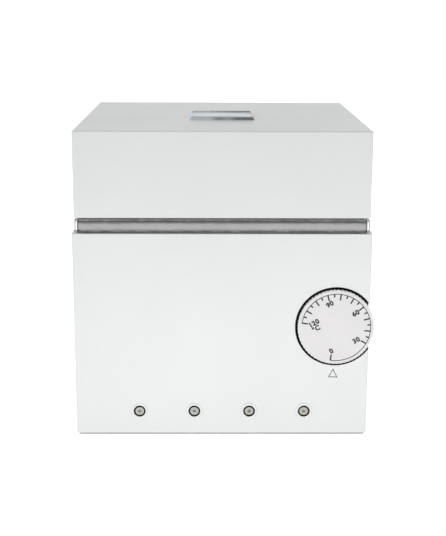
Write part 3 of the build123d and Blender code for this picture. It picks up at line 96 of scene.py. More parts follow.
class Graph:
    """Short ways to add and join nodes in one shader tree."""

    def __init__(self, tree: bpy.types.NodeTree) -> None:
        """Keep the tree that the nodes go into.

        Args:
            tree: A material's tree or a group.
        """
        self.tree = tree

    def add(self, kind: str, **values: object) -> bpy.types.Node:
        """Add a node and set its properties.

        Args:
            kind: The node's type, without its ShaderNode prefix.
            values: Properties of the node.

        Returns:
            The new node.
        """
        node = self.tree.nodes.new("ShaderNode" + kind)
        for name, value in values.items():
            setattr(node, name, value)
        return node

    def join(self, source: Socket, target: Socket) -> None:
        """Link two sockets."""
        self.tree.links.new(source, target)

    def feed(self, socket: Socket, value: object) -> None:
        """Link a socket to another one, or set it to a plain value.

        Args:
            socket: The input to fill.
            value: A socket, a number or a colour.
        """
        if isinstance(value, Socket):
            self.join(value, socket)
        else:
            socket.default_value = (*value, 1.0) if socket.type == "RGBA" else value

    def maths(self, operation: str, first: object, second: object = 0.0) -> Socket:
        """Join a Math node.

        Args:
            operation: The node's operation.
            first: The first value or socket.
            second: The second value or socket.

        Returns:
            The node's result.
        """
        node = self.add("Math", operation=operation)
        self.feed(node.inputs[0], first)
        self.feed(node.inputs[1], second)
        return node.outputs[0]

    def product(self, *values: Socket) -> Socket:
        """Multiply several values."""
        return functools.reduce(lambda first, second: self.maths("MULTIPLY", first, second), values)

    def noise(self, vector: Socket, scale: object, grit: Grit) -> Socket:
        """Join a Noise Texture.

        Args:
            vector: Where the noise is read.
            scale: Waves for each metre.
            grit: Its finer layers.

        Returns:
            The noise's value, from 0 to 1.
        """
        node = self.add("TexNoise")
        self.join(vector, node.inputs["Vector"])
        self.feed(node.inputs["Scale"], scale)
        node.inputs["Detail"].default_value = grit.layers
        node.inputs["Roughness"].default_value = grit.strength
        return node.outputs["Fac"]

    def stretched(self, vector: Socket, scale: Place) -> Socket:
        """Scale a vector along its axes.

        Args:
            vector: The vector.
            scale: A factor for each axis.

        Returns:
            The scaled vector.
        """
        node = self.add("Mapping")
        self.join(vector, node.inputs["Vector"])
        node.inputs["Scale"].default_value = scale
        return node.outputs["Vector"]

    def remap(self, value: Socket, low: float, high: float,
              to_low: float = 0.0, to_high: float = 1.0) -> Socket:
        """Map one range of a value to another, and hold it there.

        Args:
            value: The value.
            low: Start of its range.
            high: End of its range.
            to_low: What the start becomes.
            to_high: What the end becomes.

        Returns:
            The mapped value.
        """
        node = self.add("MapRange")
        self.join(value, node.inputs["Value"])
        node.inputs["From Min"].default_value = low
        node.inputs["From Max"].default_value = high
        node.inputs["To Min"].default_value = to_low
        node.inputs["To Max"].default_value = to_high
        return node.outputs["Result"]

    def mix(self, kind: Mixed, amount: Socket, first: object, second: object) -> Socket:
        """Mix two numbers or two colours.

        Args:
            kind: Which of the two.
            amount: How much of the second shows.
            first: The first, or a socket that gives it.
            second: The second, or a socket that gives it.

        Returns:
            The mixture.
        """
        data_type, *places, output = kind.value
        node = self.add("Mix", data_type=data_type)
        self.join(amount, node.inputs["Factor"])
        for place, value in zip(places, (first, second)):
            self.feed(node.inputs[place], value)
        return node.outputs[output]

    def parts(self, vector: Socket) -> tuple[Socket, ...]:
        """Split a vector.

        Args:
            vector: The vector.

        Returns:
            Its X, Y and Z.
        """
        node = self.add("SeparateXYZ")
        self.join(vector, node.inputs[0])
        return tuple(node.outputs)

    def radius(self, across: Socket, along: Socket) -> Socket:
        """Find the distance of two offsets from an axis."""
        squares = (self.maths("MULTIPLY", offset, offset) for offset in (across, along))
        return self.maths("SQRT", self.maths("ADD", *squares))

    def ramp(self, value: Socket, stops: tuple[Point, ...]) -> Socket:
        """Read a grey from a row of stops.

        Args:
            value: Where the row is read, from 0 to 1.
            stops: Each stop's place and grey.

        Returns:
            The colour.
        """
        node = self.add("ValToRGB")
        elements = node.color_ramp.elements
        while len(elements) < len(stops):
            elements.new(1.0)
        for element, (place, grey) in zip(elements, stops):
            element.position = place
            element.color = (grey, grey, grey, 1.0)
        self.join(value, node.inputs[0])
        return node.outputs[0]


class Group(Graph):
    """A shader group being made, with a vector input, some float inputs and some float outputs."""

    def __init__(self, name: str, inputs: dict[str, float], outputs: tuple[str, ...]) -> None:
        """Start the group.

        Args:
            name: The group's name.
            inputs: The float inputs, with their default values.
            outputs: The names of the float outputs.
        """
        tree = bpy.data.node_groups.new(name, "ShaderNodeTree")
        super().__init__(tree)
        tree.interface.new_socket("Vector", in_out="INPUT", socket_type="NodeSocketVector")
        for label, value in inputs.items():
            socket = tree.interface.new_socket(label, in_out="INPUT", socket_type="NodeSocketFloat")
            socket.default_value = value
        for label in outputs:
            tree.interface.new_socket(label, in_out="OUTPUT", socket_type="NodeSocketFloat")
        self.given = tree.nodes.new("NodeGroupInput").outputs
        self.wanted = tree.nodes.new("NodeGroupOutput").inputs


@dataclass(frozen=True)
class HandlingFilm:
    """Broad, faint smudges with a few finer ones in them."""

    scale: float = 14.0
    grit: Grit = Grit(3.0, 0.55)
    span: Span = (0.38, 0.66)
    fine_factor: float = 9.0
    fine_grit: Grit = Grit(4.0, 0.6)
    fine_span: Span = (0.3, 0.7)
    fine_least: float = 0.55

    def build(self) -> bpy.types.NodeTree:
        """Build the group.

        Returns:
            A group with the output Mask.
        """
        group = Group("handling_film", {"Scale": self.scale}, ("Mask",))
        place, scale = group.given["Vector"], group.given["Scale"]
        broad = group.noise(place, scale, self.grit)
        fine = group.noise(place, group.maths("MULTIPLY", scale, self.fine_factor), self.fine_grit)
        both = group.product(group.remap(broad, *self.span),
                             group.remap(fine, *self.fine_span, self.fine_least, 1.0))
        group.join(both, group.wanted["Mask"])
        return group.tree


@dataclass(frozen=True)
class BrushedGrain:
    """Fine parallel lines, level on upright faces and front to back on flat ones."""

    along: float = 9.0
    across: float = 1500.0
    grit: Grit = Grit(3.0, 0.6)
    turning: Span = (0.55, 0.85)
    span: Span = (0.35, 0.65)

    def build(self) -> bpy.types.NodeTree:
        """Build the group.

        Returns:
            A group with the outputs Height and Mask.
        """
        group = Group("brushed_grain", {}, ("Height", "Mask"))
        place = group.given["Vector"]
        scales = ((self.along, self.along, self.across), (self.across, self.along, self.along))
        upright, flat = (group.noise(group.stretched(place, scale), 1.0, self.grit)
                         for scale in scales)
        upward = group.parts(group.add("TexCoord").outputs["Normal"])[2]
        facing_up = group.remap(group.maths("ABSOLUTE", upward), *self.turning)
        lines = group.mix(Mixed.NUMBERS, facing_up, upright, flat)
        group.join(lines, group.wanted["Height"])
        group.join(group.remap(lines, *self.span), group.wanted["Mask"])
        return group.tree


@dataclass(frozen=True)
class TurnedRings:
    """The fine rings that a lathe or a spinning former leaves.

    The group's vector has its X and Y measured from the axis, in metres.
    """

    pitch: float = 0.0004
    noise_scale: float = 0.9
    grit: Grit = Grit(3.0, 0.7)
    unevenness: float = 0.5
    wave: float = 0.15
    span: Span = (0.35, 0.65)

    def build(self) -> bpy.types.NodeTree:
        """Build the group.

        Returns:
            A group with the outputs Height and Mask.
        """
        group = Group("turned_rings", {"Pitch": self.pitch}, ("Height", "Mask"))
        across, along, depth = group.parts(group.given["Vector"])
        travel = group.maths("ADD", group.radius(across, along), depth)
        turns = group.maths("DIVIDE", travel, group.given["Pitch"])
        wave = group.maths("SINE", group.maths("MULTIPLY", turns, math.tau))
        line = group.add("CombineXYZ")
        group.join(turns, line.inputs["X"])
        uneven = group.noise(line.outputs[0], self.noise_scale, self.grit)
        spread = group.maths("MULTIPLY", group.maths("SUBTRACT", uneven, 0.5), self.unevenness)
        height = group.maths("ADD", group.maths("MULTIPLY", wave, self.wave), spread)
        group.join(height, group.wanted["Height"])
        group.join(group.remap(uneven, *self.span), group.wanted["Mask"])
        return group.tree


@dataclass(frozen=True)
class PaintPeel:
    """The soft dimples of a sprayed or moulded skin."""

    scale: float = 900.0
    grit: Grit = Grit(2.0, 0.45)

    def build(self) -> bpy.types.NodeTree:
        """Build the group.

        Returns:
            A group with the output Height.
        """
        group = Group("paint_peel", {"Scale": self.scale}, ("Height",))
        dimples = group.noise(group.given["Vector"], group.given["Scale"], self.grit)
        group.join(dimples, group.wanted["Height"])
        return group.tree


class Effects:
    """The shader groups that several finishes share, each built once."""

    def __init__(self) -> None:
        """Build the groups."""
        self.film = HandlingFilm().build()
        self.grain = BrushedGrain().build()
        self.rings = TurnedRings().build()
        self.peel = PaintPeel().build()


@dataclass(frozen=True)
class Axis:
    """A line that turned or recessed pieces are measured from, or a row of such lines along X."""

    centre: Place = (0.0, 0.0, 0.0)
    facing_front: bool = False
    pitch: float = 0.0


DIAL_AXIS = Axis((0.077, -0.1025, 0.082), True)
SCREW_AXES = Axis((0.0, -0.1015, 0.0219), True, 0.0376)
# The screws' axes set 0.45 mm lower, so that the painted shade ring round each head is wider at the
# top, as under light from above.
SHADE_RING_SCREW_AXES = Axis((0.0, -0.1015, 0.02145), True, 0.0376)


class Finish:
    """One material being made: a Principled BSDF, its tree, and what feeds it."""

    def __init__(self, name: str, **sockets: float) -> None:
        """Start the material.

        Args:
            name: The material's name.
            sockets: Values of the shader's own sockets, with underscores for spaces.
        """
        self.material = bpy.data.materials.new(name)
        self.material.use_nodes = True
        self.graph = Graph(self.material.node_tree)
        self.shader = self.material.node_tree.nodes["Principled BSDF"]
        for label, value in sockets.items():
            self.shader.inputs[label.replace("_", " ")].default_value = value
        coordinates = self.graph.add("TexCoord")
        self.place = coordinates.outputs["Object"]
        self.facing = coordinates.outputs["Normal"]
        self.tone: Socket | None = None

    def group(self, tree: bpy.types.NodeTree, vector: Socket | None = None,
              **values: float) -> bpy.types.Node:
        """Place a shared group.

        Args:
            tree: The group.
            vector: Where it is read, or None for the object's own coordinates.
            values: Its inputs.

        Returns:
            The group's node.
        """
        node = self.graph.add("Group", node_tree=tree)
        self.graph.join(vector or self.place, node.inputs["Vector"])
        for label, value in values.items():
            node.inputs[label].default_value = value
        return node

    def colour(self, amount: Socket, first: Colour, second: Colour) -> None:
        """Let the base colour run between two colours."""
        self.tone = self.graph.mix(Mixed.COLOURS, amount, first, second)
        self.graph.join(self.tone, self.shader.inputs["Base Color"])

    def cover(self, amount: Socket, colour: object) -> None:
        """Lay another colour over the base colour.

        Args:
            amount: Where it covers, from 0 to 1.
            colour: The colour, or a socket that gives it.
        """
        self.tone = self.graph.mix(Mixed.COLOURS, amount, self.tone, colour)
        self.graph.join(self.tone, self.shader.inputs["Base Color"])

    def roughness(self, amount: Socket, span: Span) -> None:
        """Let the roughness run over a span."""
        self.graph.join(self.graph.remap(amount, 0.0, 1.0, *span), self.shader.inputs["Roughness"])

    def relief(self, height: Socket, distance: float) -> None:
        """Feed a height to the normal.

        Args:
            height: The height, about from 0 to 1.
            distance: Depth of the relief, in metres.
        """
        bump = self.graph.add("Bump")
        bump.inputs["Distance"].default_value = distance
        self.graph.join(height, bump.inputs["Height"])
        self.graph.join(bump.outputs["Normal"], self.shader.inputs["Normal"])

    def centred(self, axis: Axis) -> Socket:
        """Measure places from an axis.

        Args:
            axis: The axis, or the nearest one of a row.

        Returns:
            A vector whose X and Y are measured from the axis, and whose Z runs along it.
        """
        x, y, z = self.graph.parts(self.place)
        if axis.pitch:
            wrapped = self.graph.maths("FRACT", self.graph.maths("DIVIDE", x, axis.pitch))
            from_middle = self.graph.maths("SUBTRACT", wrapped, 0.5)
            across = self.graph.maths("MULTIPLY", from_middle, axis.pitch)
        else:
            across = self.graph.maths("SUBTRACT", x, axis.centre[0])
        others = [self.graph.maths("SUBTRACT", y, axis.centre[1]),
                  self.graph.maths("SUBTRACT", z, axis.centre[2])]
        if axis.facing_front:
            others.reverse()
        node = self.graph.add("CombineXYZ")
        for socket, offset in zip(node.inputs, (across, *others)):
            self.graph.join(offset, socket)
        return node.outputs[0]


class PaintedLight:
    """Painted light or shade that lies over part of a finish's own colour."""

    def lay(self, finish: Finish) -> None:
        """Paint it over the colour of a finish."""
        raise NotImplementedError


@dataclass(frozen=True)
class OpeningShade(PaintedLight):
    """A round opening that faces the front, and a painted shade in its depth.

    The painted shade lies within the radius, behind start and before end. Where inner is given, it
    leaves out what is nearer to the axis. Where right is given, it also stays to the left of that,
    as measured on the housing, so that it doesn't turn with a knob.
    """

    axis: Axis
    radius: float
    start: float
    shade: Colour = (0.012, 0.012, 0.013)
    edge: float = 0.0001
    inner: float | None = None
    end: float = -0.05
    right: float | None = None

    def lay(self, finish: Finish) -> None:
        """Paint shade on what lies within the opening and behind its face.

        Args:
            finish: The material that takes the painted shade.
        """
        graph = finish.graph
        across, along, _ = graph.parts(finish.centred(self.axis))
        distance = graph.radius(across, along)
        depth = graph.parts(finish.place)[1]
        bounds = [graph.remap(distance, self.radius - self.edge, self.radius, 1.0, 0.0)]
        if self.inner is not None:
            bounds.append(graph.remap(distance, self.inner - self.edge, self.inner))
        bounds.append(graph.remap(depth, self.start - self.edge, self.start + self.edge))
        bounds.append(graph.remap(depth, self.end, self.end + self.edge, 1.0, 0.0))
        if self.right is not None:
            on_housing = graph.add("TexCoord", object=frame["nodes"]["body_shell"])
            x = graph.parts(on_housing.outputs["Object"])[0]
            bounds.append(graph.remap(x, self.right, self.right + self.edge, 1.0, 0.0))
        finish.cover(graph.product(*bounds), self.shade)


@dataclass(frozen=True)
class InnerShade(PaintedLight):
    """A painted shade on the inner side of a box-shaped skin, up to a height, and its colour."""

    half_width: float
    top: float
    shade: Colour
    edge: float = 0.00005

    def lay(self, finish: Finish) -> None:
        """Paint the shade on the inner side.

        Args:
            finish: The material that takes the painted shade.
        """
        graph = finish.graph
        x, y, z = graph.parts(finish.place)
        outer = self.half_width + self.edge
        walls = [graph.remap(graph.maths("ABSOLUTE", offset), self.half_width, outer, 1.0, 0.0)
                 for offset in (x, y)]
        below = graph.remap(z, self.top, self.top + self.edge, 1.0, 0.0)
        finish.cover(graph.product(*walls, below), self.shade)


@dataclass(frozen=True)
class EdgeDarkReflection(PaintedLight):
    """A painted dark reflection on a coat's rounded upper edges, above a height."""

    shade: Colour
    above: float
    slope: Span = (0.1, 0.45)
    fade: float = 0.001

    def lay(self, finish: Finish) -> None:
        """Paint the dark reflection where a face looks both upward and outward.

        Args:
            finish: The material that takes the painted reflection.
        """
        graph = finish.graph
        sideways, frontways, upward = graph.parts(finish.facing)
        level = graph.maths("MAXIMUM", graph.maths("ABSOLUTE", sideways),
                            graph.maths("ABSOLUTE", frontways))
        rounded = graph.remap(graph.maths("MINIMUM", level, upward), *self.slope)
        high = graph.remap(graph.parts(finish.place)[2], self.above, self.above + self.fade)
        finish.cover(graph.product(rounded, high), self.shade)


@dataclass(frozen=True)
class RimReflections(PaintedLight):
    """Painted reflections and shade on a polished rim's upright faces: its light and dark bands,
    and its painted highlights at the corners between painted dark lines.

    The bands run from the bottom to the top of the rim and waver a little. The corners begin where
    its straight sides end. All lie at fixed places on the rim.
    """

    inner: float = 0.0972
    fade: float = 0.0001
    bottom: float = 0.1458
    top: float = 0.1557
    reflection_bands: tuple[Point, ...] = (
        (0.0, 0.95), (0.08, 0.8), (0.15, 0.42), (0.22, 0.17), (0.3, 0.27), (0.38, 0.36),
        (0.64, 0.33), (0.72, 0.2), (0.78, 0.14), (0.86, 0.17), (0.93, 0.45), (1.0, 0.6))
    streaks: Place = (150.0, 150.0, 600.0)
    grit: Grit = Grit(4.0, 0.65)
    streak_span: Span = (0.3, 0.7)
    waver: float = 0.045
    straight: float = 0.0932
    # Colour of the painted dark lines at the corners.
    line: Colour = (0.1, 0.1, 0.105)
    dark_line_span: Span = (0.35, 0.6)
    # Colour of the painted highlights at the corners.
    corner: Colour = (0.95, 0.95, 0.95)
    corner_highlight_span: Span = (0.7, 0.78)

    def lay(self, finish: Finish) -> None:
        """Paint the reflected bands and the corner highlights over the metal's own colour.

        Args:
            finish: The material that takes them.
        """
        graph = finish.graph
        x, y, z = graph.parts(finish.place)
        offsets = [graph.maths("ABSOLUTE", part) for part in (x, y)]
        outside = graph.remap(graph.maths("MAXIMUM", *offsets), self.inner - self.fade, self.inner)
        height = graph.remap(z, self.bottom, self.top)
        streaks = graph.noise(graph.stretched(finish.place, self.streaks), 1.0, self.grit)
        shift = graph.remap(streaks, *self.streak_span, -self.waver, self.waver)
        # Painted reflection and shade in bands by height on the rim's outer faces.
        finish.cover(outside, graph.ramp(graph.maths("ADD", height, shift), self.reflection_bands))
        past = [graph.maths("MAXIMUM", graph.maths("SUBTRACT", offset, self.straight), 0.0)
                for offset in offsets]
        diagonal = graph.maths("DIVIDE", graph.maths("MINIMUM", *past),
                               graph.maths("MAXIMUM", *past))
        for span, shade in ((self.dark_line_span, self.line), (self.corner_highlight_span, self.corner)):
            finish.cover(graph.product(graph.remap(diagonal, *span), outside), shade)


@dataclass(frozen=True)
class BadgeReflection(PaintedLight):
    """A painted reflection on the sloping edge of a polished plate, which runs from pale blue to
    slate.

    A painted highlight keeps the slope bright just under the plate's top, and painted shade darkens
    the steep inner edge. Both lines are given by how far below the top they begin and end.
    """

    pale: Colour = (0.66, 0.74, 0.82)
    slate: Colour = (0.21, 0.25, 0.30)
    half_width: float = 0.0232
    top: float = 0.2164
    highlight_line: Span = (0.0007, 0.00042)
    shaded_line: Span = (0.0005, 0.0003)
    sloping: Span = (0.75, 0.95)
    steep: Span = (0.1, 0.3)
    cloud_scale: float = 160.0
    grit: Grit = Grit(3.0, 0.6)
    cloud_span: Span = (0.3, 0.7)
    cloud_shift: float = 0.16
    sweep_span: Span = (0.25, 0.75)
    dark_span: Span = (0.2, 1.0)
    dark_share: Span = (0.2, 0.9)

    def lay(self, finish: Finish) -> None:
        """Paint the slope's reflected sweep and the shaded inner edge over the metal's own colour.

        Args:
            finish: The material that takes them.
        """
        graph = finish.graph
        x, _, height = graph.parts(finish.place)
        upward = graph.parts(finish.facing)[2]
        clouds = graph.noise(finish.place, self.cloud_scale, self.grit)
        shift = graph.remap(clouds, *self.cloud_span, -self.cloud_shift, self.cloud_shift)
        travel = graph.maths("ADD", graph.remap(x, -self.half_width, self.half_width), shift)
        swept = graph.remap(travel, *self.sweep_span)
        sweep = graph.mix(Mixed.COLOURS, swept, self.pale, self.slate)
        below = graph.remap(height, *(self.top - drop for drop in self.highlight_line), 1.0, 0.0)
        sloping = graph.remap(upward, *self.sloping, 1.0, 0.0)
        # Painted reflection on the slope, below the painted highlight.
        finish.cover(graph.product(below, sloping), sweep)
        steep = graph.remap(upward, *self.steep, 1.0, 0.0)
        high = graph.remap(height, *(self.top - drop for drop in self.shaded_line))
        share = graph.remap(travel, *self.dark_span, *self.dark_share)
        # Painted shade on the steep inner edge.
        finish.cover(graph.product(steep, high, share), self.slate)


@dataclass(frozen=True)
class Look:
    """A finish between two colours, with smudges in its gloss and a fine relief.

    The first colour shows where the pattern of its kind is weak, and the second where it is strong.
    """

    name: str
    weak: Colour
    strong: Colour
    gloss: Span
    depth: float = 0.000006
    smudge_scale: float = 14.0
    metallic: float = 0.0
    # Painted light and shade laid over the two colours.
    layers: tuple[PaintedLight, ...] = ()

    def pattern(self, finish: Finish, effects: Effects, smudges: Socket) -> tuple[Socket, Socket]:
        """Find the pattern that the colours follow, and the height of the relief."""
        raise NotImplementedError

    def make(self, effects: Effects) -> bpy.types.Material:
        """Make the material.

        Args:
            effects: The shared groups.

        Returns:
            The material.
        """
        finish = Finish(self.name, Metallic=self.metallic)
        smudges = finish.group(effects.film, Scale=self.smudge_scale).outputs["Mask"]
        pattern, height = self.pattern(finish, effects, smudges)
        finish.colour(pattern, self.weak, self.strong)
        # Paint the light and shade over the colours.
        for layer in self.layers:
            layer.lay(finish)
        finish.roughness(smudges, self.gloss)
        finish.relief(height, self.depth)
        return finish.material


@dataclass(frozen=True)
class Coat(Look):
    """A painted or moulded skin with faint smudges and peel."""

    peel_scale: float = 900.0

    def pattern(self, finish: Finish, effects: Effects, smudges: Socket) -> tuple[Socket, Socket]:
        """Let the colours follow the smudges, and the relief the peel."""
        return smudges, finish.group(effects.peel, Scale=self.peel_scale).outputs["Height"]


@dataclass(frozen=True)
class CastMetal(Coat):
    """Plain metal with a faint mottle, such as a plated fastener."""

    depth: float = 0.000005
    smudge_scale: float = 180.0
    metallic: float = 1.0
    peel_scale: float = 1620.0


@dataclass(frozen=True)
class BrushedMetal(Look):
    """Metal sheet with fine parallel lines."""

    depth: float = 0.000004
    smudge_scale: float = 22.0
    metallic: float = 1.0

    def pattern(self, finish: Finish, effects: Effects, smudges: Socket) -> tuple[Socket, Socket]:
        """Let the colours and the relief follow the grain."""
        grain = finish.group(effects.grain)
        return grain.outputs["Mask"], grain.outputs["Height"]


@dataclass(frozen=True)
class TurnedMetal(Look):
    """Metal with the rings of a lathe or of spinning round one axis.

    Where wave is given, the colours follow the rings' height from -wave to wave.
    """

    depth: float = 0.00001
    smudge_scale: float = 26.0
    metallic: float = 1.0
    axis: Axis = Axis()
    pitch: float = 0.0004
    wave: float | None = None

    def pattern(self, finish: Finish, effects: Effects, smudges: Socket) -> tuple[Socket, Socket]:
        """Let the colours and the relief follow the rings.

        Args:
            finish: The material being made.
            effects: The shared groups.
            smudges: Where the smudges are, which the rings don't follow.

        Returns:
            The pattern and the height.
        """
        rings = finish.group(effects.rings, finish.centred(self.axis), Pitch=self.pitch)
        pattern, height = rings.outputs["Mask"], rings.outputs["Height"]
        if self.wave is not None:
            pattern = finish.graph.remap(height, -self.wave, self.wave)
        return pattern, height


@dataclass(frozen=True)
class Fibre:
    """Loose ceramic fibre blanket."""

    name: str
    light: Colour
    dark: Colour
    roughness: float = 0.95
    sheen: float = 0.3
    stretch: Place = (1.0, 1.0, 3.0)
    scale: float = 420.0
    grit: Grit = Grit(8.0, 0.75)
    depth: float = 0.0008

    def make(self, _: Effects) -> bpy.types.Material:
        """Make the material.

        Args:
            _: The shared groups, none of which it needs.

        Returns:
            The material.
        """
        finish = Finish(self.name, Roughness=self.roughness, Sheen_Weight=self.sheen)
        stretched = finish.graph.stretched(finish.place, self.stretch)
        strands = finish.graph.noise(stretched, self.scale, self.grit)
        finish.colour(strands, self.dark, self.light)
        finish.relief(strands, self.depth)
        return finish.material


class Wardrobe:
    """Every finish of the object, by its name: the record's material slots and a few more."""

    def __init__(self) -> None:
        """Make the shared groups and the finishes."""
        effects = Effects()
        fibre = Fibre("fibre", (0.84, 0.82, 0.76), (0.62, 0.60, 0.55))
        finishes = (*self.coats(), *self.metals(), fibre)
        self.made = {finish.name: finish.make(effects) for finish in finishes}
        self.slots = {part["node"]: part["material_slot"] for part in frame["record"]["subparts"]}
        self.ink = self.made[OwnFinish.SCALE_INK.value]

    @staticmethod
    def coats() -> tuple[Coat, ...]:
        """List the paints, plastics, rubbers and other skins.

        Returns:
            The finishes.
        """
        return (
            # White enamel, with painted shade on the cut edge of the dial's hole, a painted shadow
            # on the housing's top flange under the rim, painted shade on the housing's inner side,
            # and a painted dark reflection on the lid's rounded upper edges.
            Coat("white_enamel", (0.85, 0.863, 0.86), (0.832, 0.846, 0.842), (0.30, 0.40), layers=(
                OpeningShade(DIAL_AXIS, 0.0277, -0.09995, end=-0.0909),
                InnerShade(0.0984, 0.15, (0.55, 0.55, 0.555), 0.0003),
                InnerShade(0.09885, 0.1444, (0.07, 0.07, 0.072)),
                EdgeDarkReflection((0.72, 0.735, 0.735), 0.15))),
            Coat("bracket_black", (0.012, 0.012, 0.013), (0.02, 0.02, 0.02), (0.6, 0.75)),
            Coat("foot_rubber", (0.03, 0.03, 0.03), (0.05, 0.05, 0.048), (0.6, 0.8), 0.00002,
                 peel_scale=2200.0),
            Coat("red_silicone", (0.42, 0.07, 0.04), (0.36, 0.06, 0.035), (0.45, 0.6)),
            # Painted shade in each cup's bore round the screw head.
            Coat("white_nylon", (0.90, 0.90, 0.895), (0.87, 0.87, 0.865), (0.35, 0.45), 0.000004,
                 60.0, layers=(OpeningShade(SCREW_AXES, 0.0042, -0.1015),), peel_scale=1500.0),
            Coat("ceramic_parts", (0.80, 0.77, 0.70), (0.74, 0.71, 0.64), (0.5, 0.65)),
            Coat("black_plastic", (0.018, 0.018, 0.019), (0.03, 0.03, 0.03), (0.35, 0.5), 0.000008,
                 peel_scale=1800.0),
            Coat("lead_brown", (0.13, 0.055, 0.025), (0.17, 0.08, 0.04), (0.4, 0.55)),
            Coat("lead_blue", (0.02, 0.09, 0.32), (0.03, 0.12, 0.38), (0.4, 0.55)),
            Coat("lead_green", (0.10, 0.30, 0.03), (0.45, 0.42, 0.03), (0.4, 0.55)),
            # Painted shade on the knob's side where it lies in the slit round it, kept to the left
            # of the housing's side wall.
            Coat("white_plastic", (0.92, 0.91, 0.915), (0.90, 0.89, 0.895), (0.28, 0.38), 0.000004,
                 40.0, layers=(OpeningShade(DIAL_AXIS, 0.0263, -0.0991, right=0.0993),),
                 peel_scale=1200.0),
            Coat(OwnFinish.DIAL_FACE.value, (0.80, 0.785, 0.79), (0.785, 0.77, 0.775),
                 (0.32, 0.42), 0.000004, 40.0, peel_scale=1200.0),
            Coat(OwnFinish.SCALE_INK.value, (0.008, 0.008, 0.009), (0.014, 0.014, 0.015),
                 (0.6, 0.75), 0.000002, 300.0, peel_scale=3000.0),
        )

    @staticmethod
    def metals() -> tuple[Look, ...]:
        """List the metals.

        Returns:
            The finishes.
        """
        return (
            # Painted reflections and shade on the rim, with painted highlights at its corners.
            BrushedMetal("deck_steel", (0.62, 0.62, 0.63), (0.74, 0.74, 0.75), (0.24, 0.34),
                         layers=(RimReflections(),)),
            # Painted reflection and highlight on the badge's sloping edge, and painted shade on its
            # inner edge.
            BrushedMetal("badge_chrome", (0.5766, 0.59055, 0.5952), (0.62, 0.635, 0.64),
                         (0.16, 0.26), 0.000001, 60.0, layers=(BadgeReflection(),)),
            # Painted shade at the centre of each head, and a painted shade ring round each head,
            # wider at the top.
            TurnedMetal(OwnFinish.SCREW_STEEL.value, (0.24, 0.24, 0.225), (0.54, 0.53, 0.505),
                        (0.34, 0.45), 0.00002, axis=SCREW_AXES, pitch=0.001, wave=0.2, layers=(
                            OpeningShade(SCREW_AXES, 0.0008, -0.11, (0.32, 0.32, 0.31), 0.0004),
                            OpeningShade(SHADE_RING_SCREW_AXES, 0.01, -0.11, edge=0.0003, inner=0.0031))),
            TurnedMetal("well_aluminium", (0.56, 0.56, 0.57), (0.80, 0.80, 0.81), (0.26, 0.38),
                        pitch=0.0012),
            TurnedMetal("pot_aluminium", (0.60, 0.60, 0.61), (0.88, 0.88, 0.89), (0.18, 0.3),
                        pitch=0.0016),
            CastMetal("zinc_sheet", (0.29, 0.30, 0.32), (0.22, 0.23, 0.25), (0.35, 0.5),
                      smudge_scale=60.0, peel_scale=540.0),
            CastMetal("steel_fasteners", (0.66, 0.65, 0.63), (0.52, 0.51, 0.49), (0.25, 0.4)),
            CastMetal("heater_band", (0.46, 0.42, 0.38), (0.30, 0.26, 0.24), (0.35, 0.5),
                      smudge_scale=40.0, peel_scale=360.0),
            CastMetal("control_steel", (0.68, 0.68, 0.67), (0.56, 0.56, 0.55), (0.28, 0.42),
                      smudge_scale=90.0, peel_scale=810.0),
            CastMetal("copper_tube", (0.75, 0.42, 0.28), (0.58, 0.30, 0.2), (0.22, 0.36)),
            CastMetal("tinned_brass", (0.78, 0.72, 0.55), (0.66, 0.60, 0.44), (0.2, 0.34)),
        )

    def dress(self, *nodes: str, finish: OwnFinish | None = None) -> None:
        """Give CAD nodes the finish of their slot, or another one.

        Args:
            nodes: The nodes' names.
            finish: The other finish, where the slot's own isn't meant.
        """
        for name in nodes:
            chosen = finish.value if finish else self.slots[name]
            data = frame["nodes"][name].data
            data.materials.clear()
            data.materials.append(self.made[chosen])
            LOG.info("dressed %s as %s", name, chosen)


def add_object(name: str, data: bpy.types.ID) -> bpy.types.Object:
    """Add an object to the scene.

    Args:
        name: Its name.
        data: Its mesh, curve, camera or lamp.

    Returns:
        The object.
    """
    item = bpy.data.objects.new(name, data)
    bpy.context.scene.collection.objects.link(item)
    return item


class PrintSheet:
    """Flat printed shapes in front of a face that looks to the front, gathered in one mesh."""

    def __init__(self, surface: float, centre: Point = (0.0, 0.0)) -> None:
        """Start an empty sheet.

        Args:
            surface: The face's y.
            centre: What radii and angles are measured from, as (x, z).
        """
        self.mesh = bmesh.new()
        self.surface = surface
        self.centre = centre

    def at(self, radius: float, degrees: float) -> Point:
        """Find a point from its radius and its angle, anticlockwise from the right."""
        turn = math.radians(degrees)
        return self.centre[0] + radius * math.cos(turn), self.centre[1] + radius * math.sin(turn)

    def outline(self, corners: list[Point | Vector], thickness: float) -> None:
        """Add a flat shape.

        Args:
            corners: Its corners as (x, z), in order.
            thickness: How far it stands proud of the face.
        """
        face = self.mesh.faces.new([self.mesh.verts.new((x, self.surface, z)) for x, z in corners])
        raised = bmesh.ops.extrude_face_region(self.mesh, geom=[face])["geom"]
        moved = [item for item in raised if isinstance(item, bmesh.types.BMVert)]
        bmesh.ops.translate(self.mesh, verts=moved, vec=(0.0, -thickness, 0.0))

    def settle(self, name: str, body: Body, ink: bpy.types.Material) -> None:
        """Turn the shapes into a piece that rides on a body.

        Args:
            name: The piece's name.
            body: What it rides on.
            ink: Its finish.
        """
        data = bpy.data.meshes.new(name)
        bmesh.ops.recalc_face_normals(self.mesh, faces=self.mesh.faces)
        self.mesh.to_mesh(data)
        self.mesh.free()
        data.materials.append(ink)
        piece = add_object(name, data)
        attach(piece, body.value)
        LOG.info("built %s on %s", name, body.value)


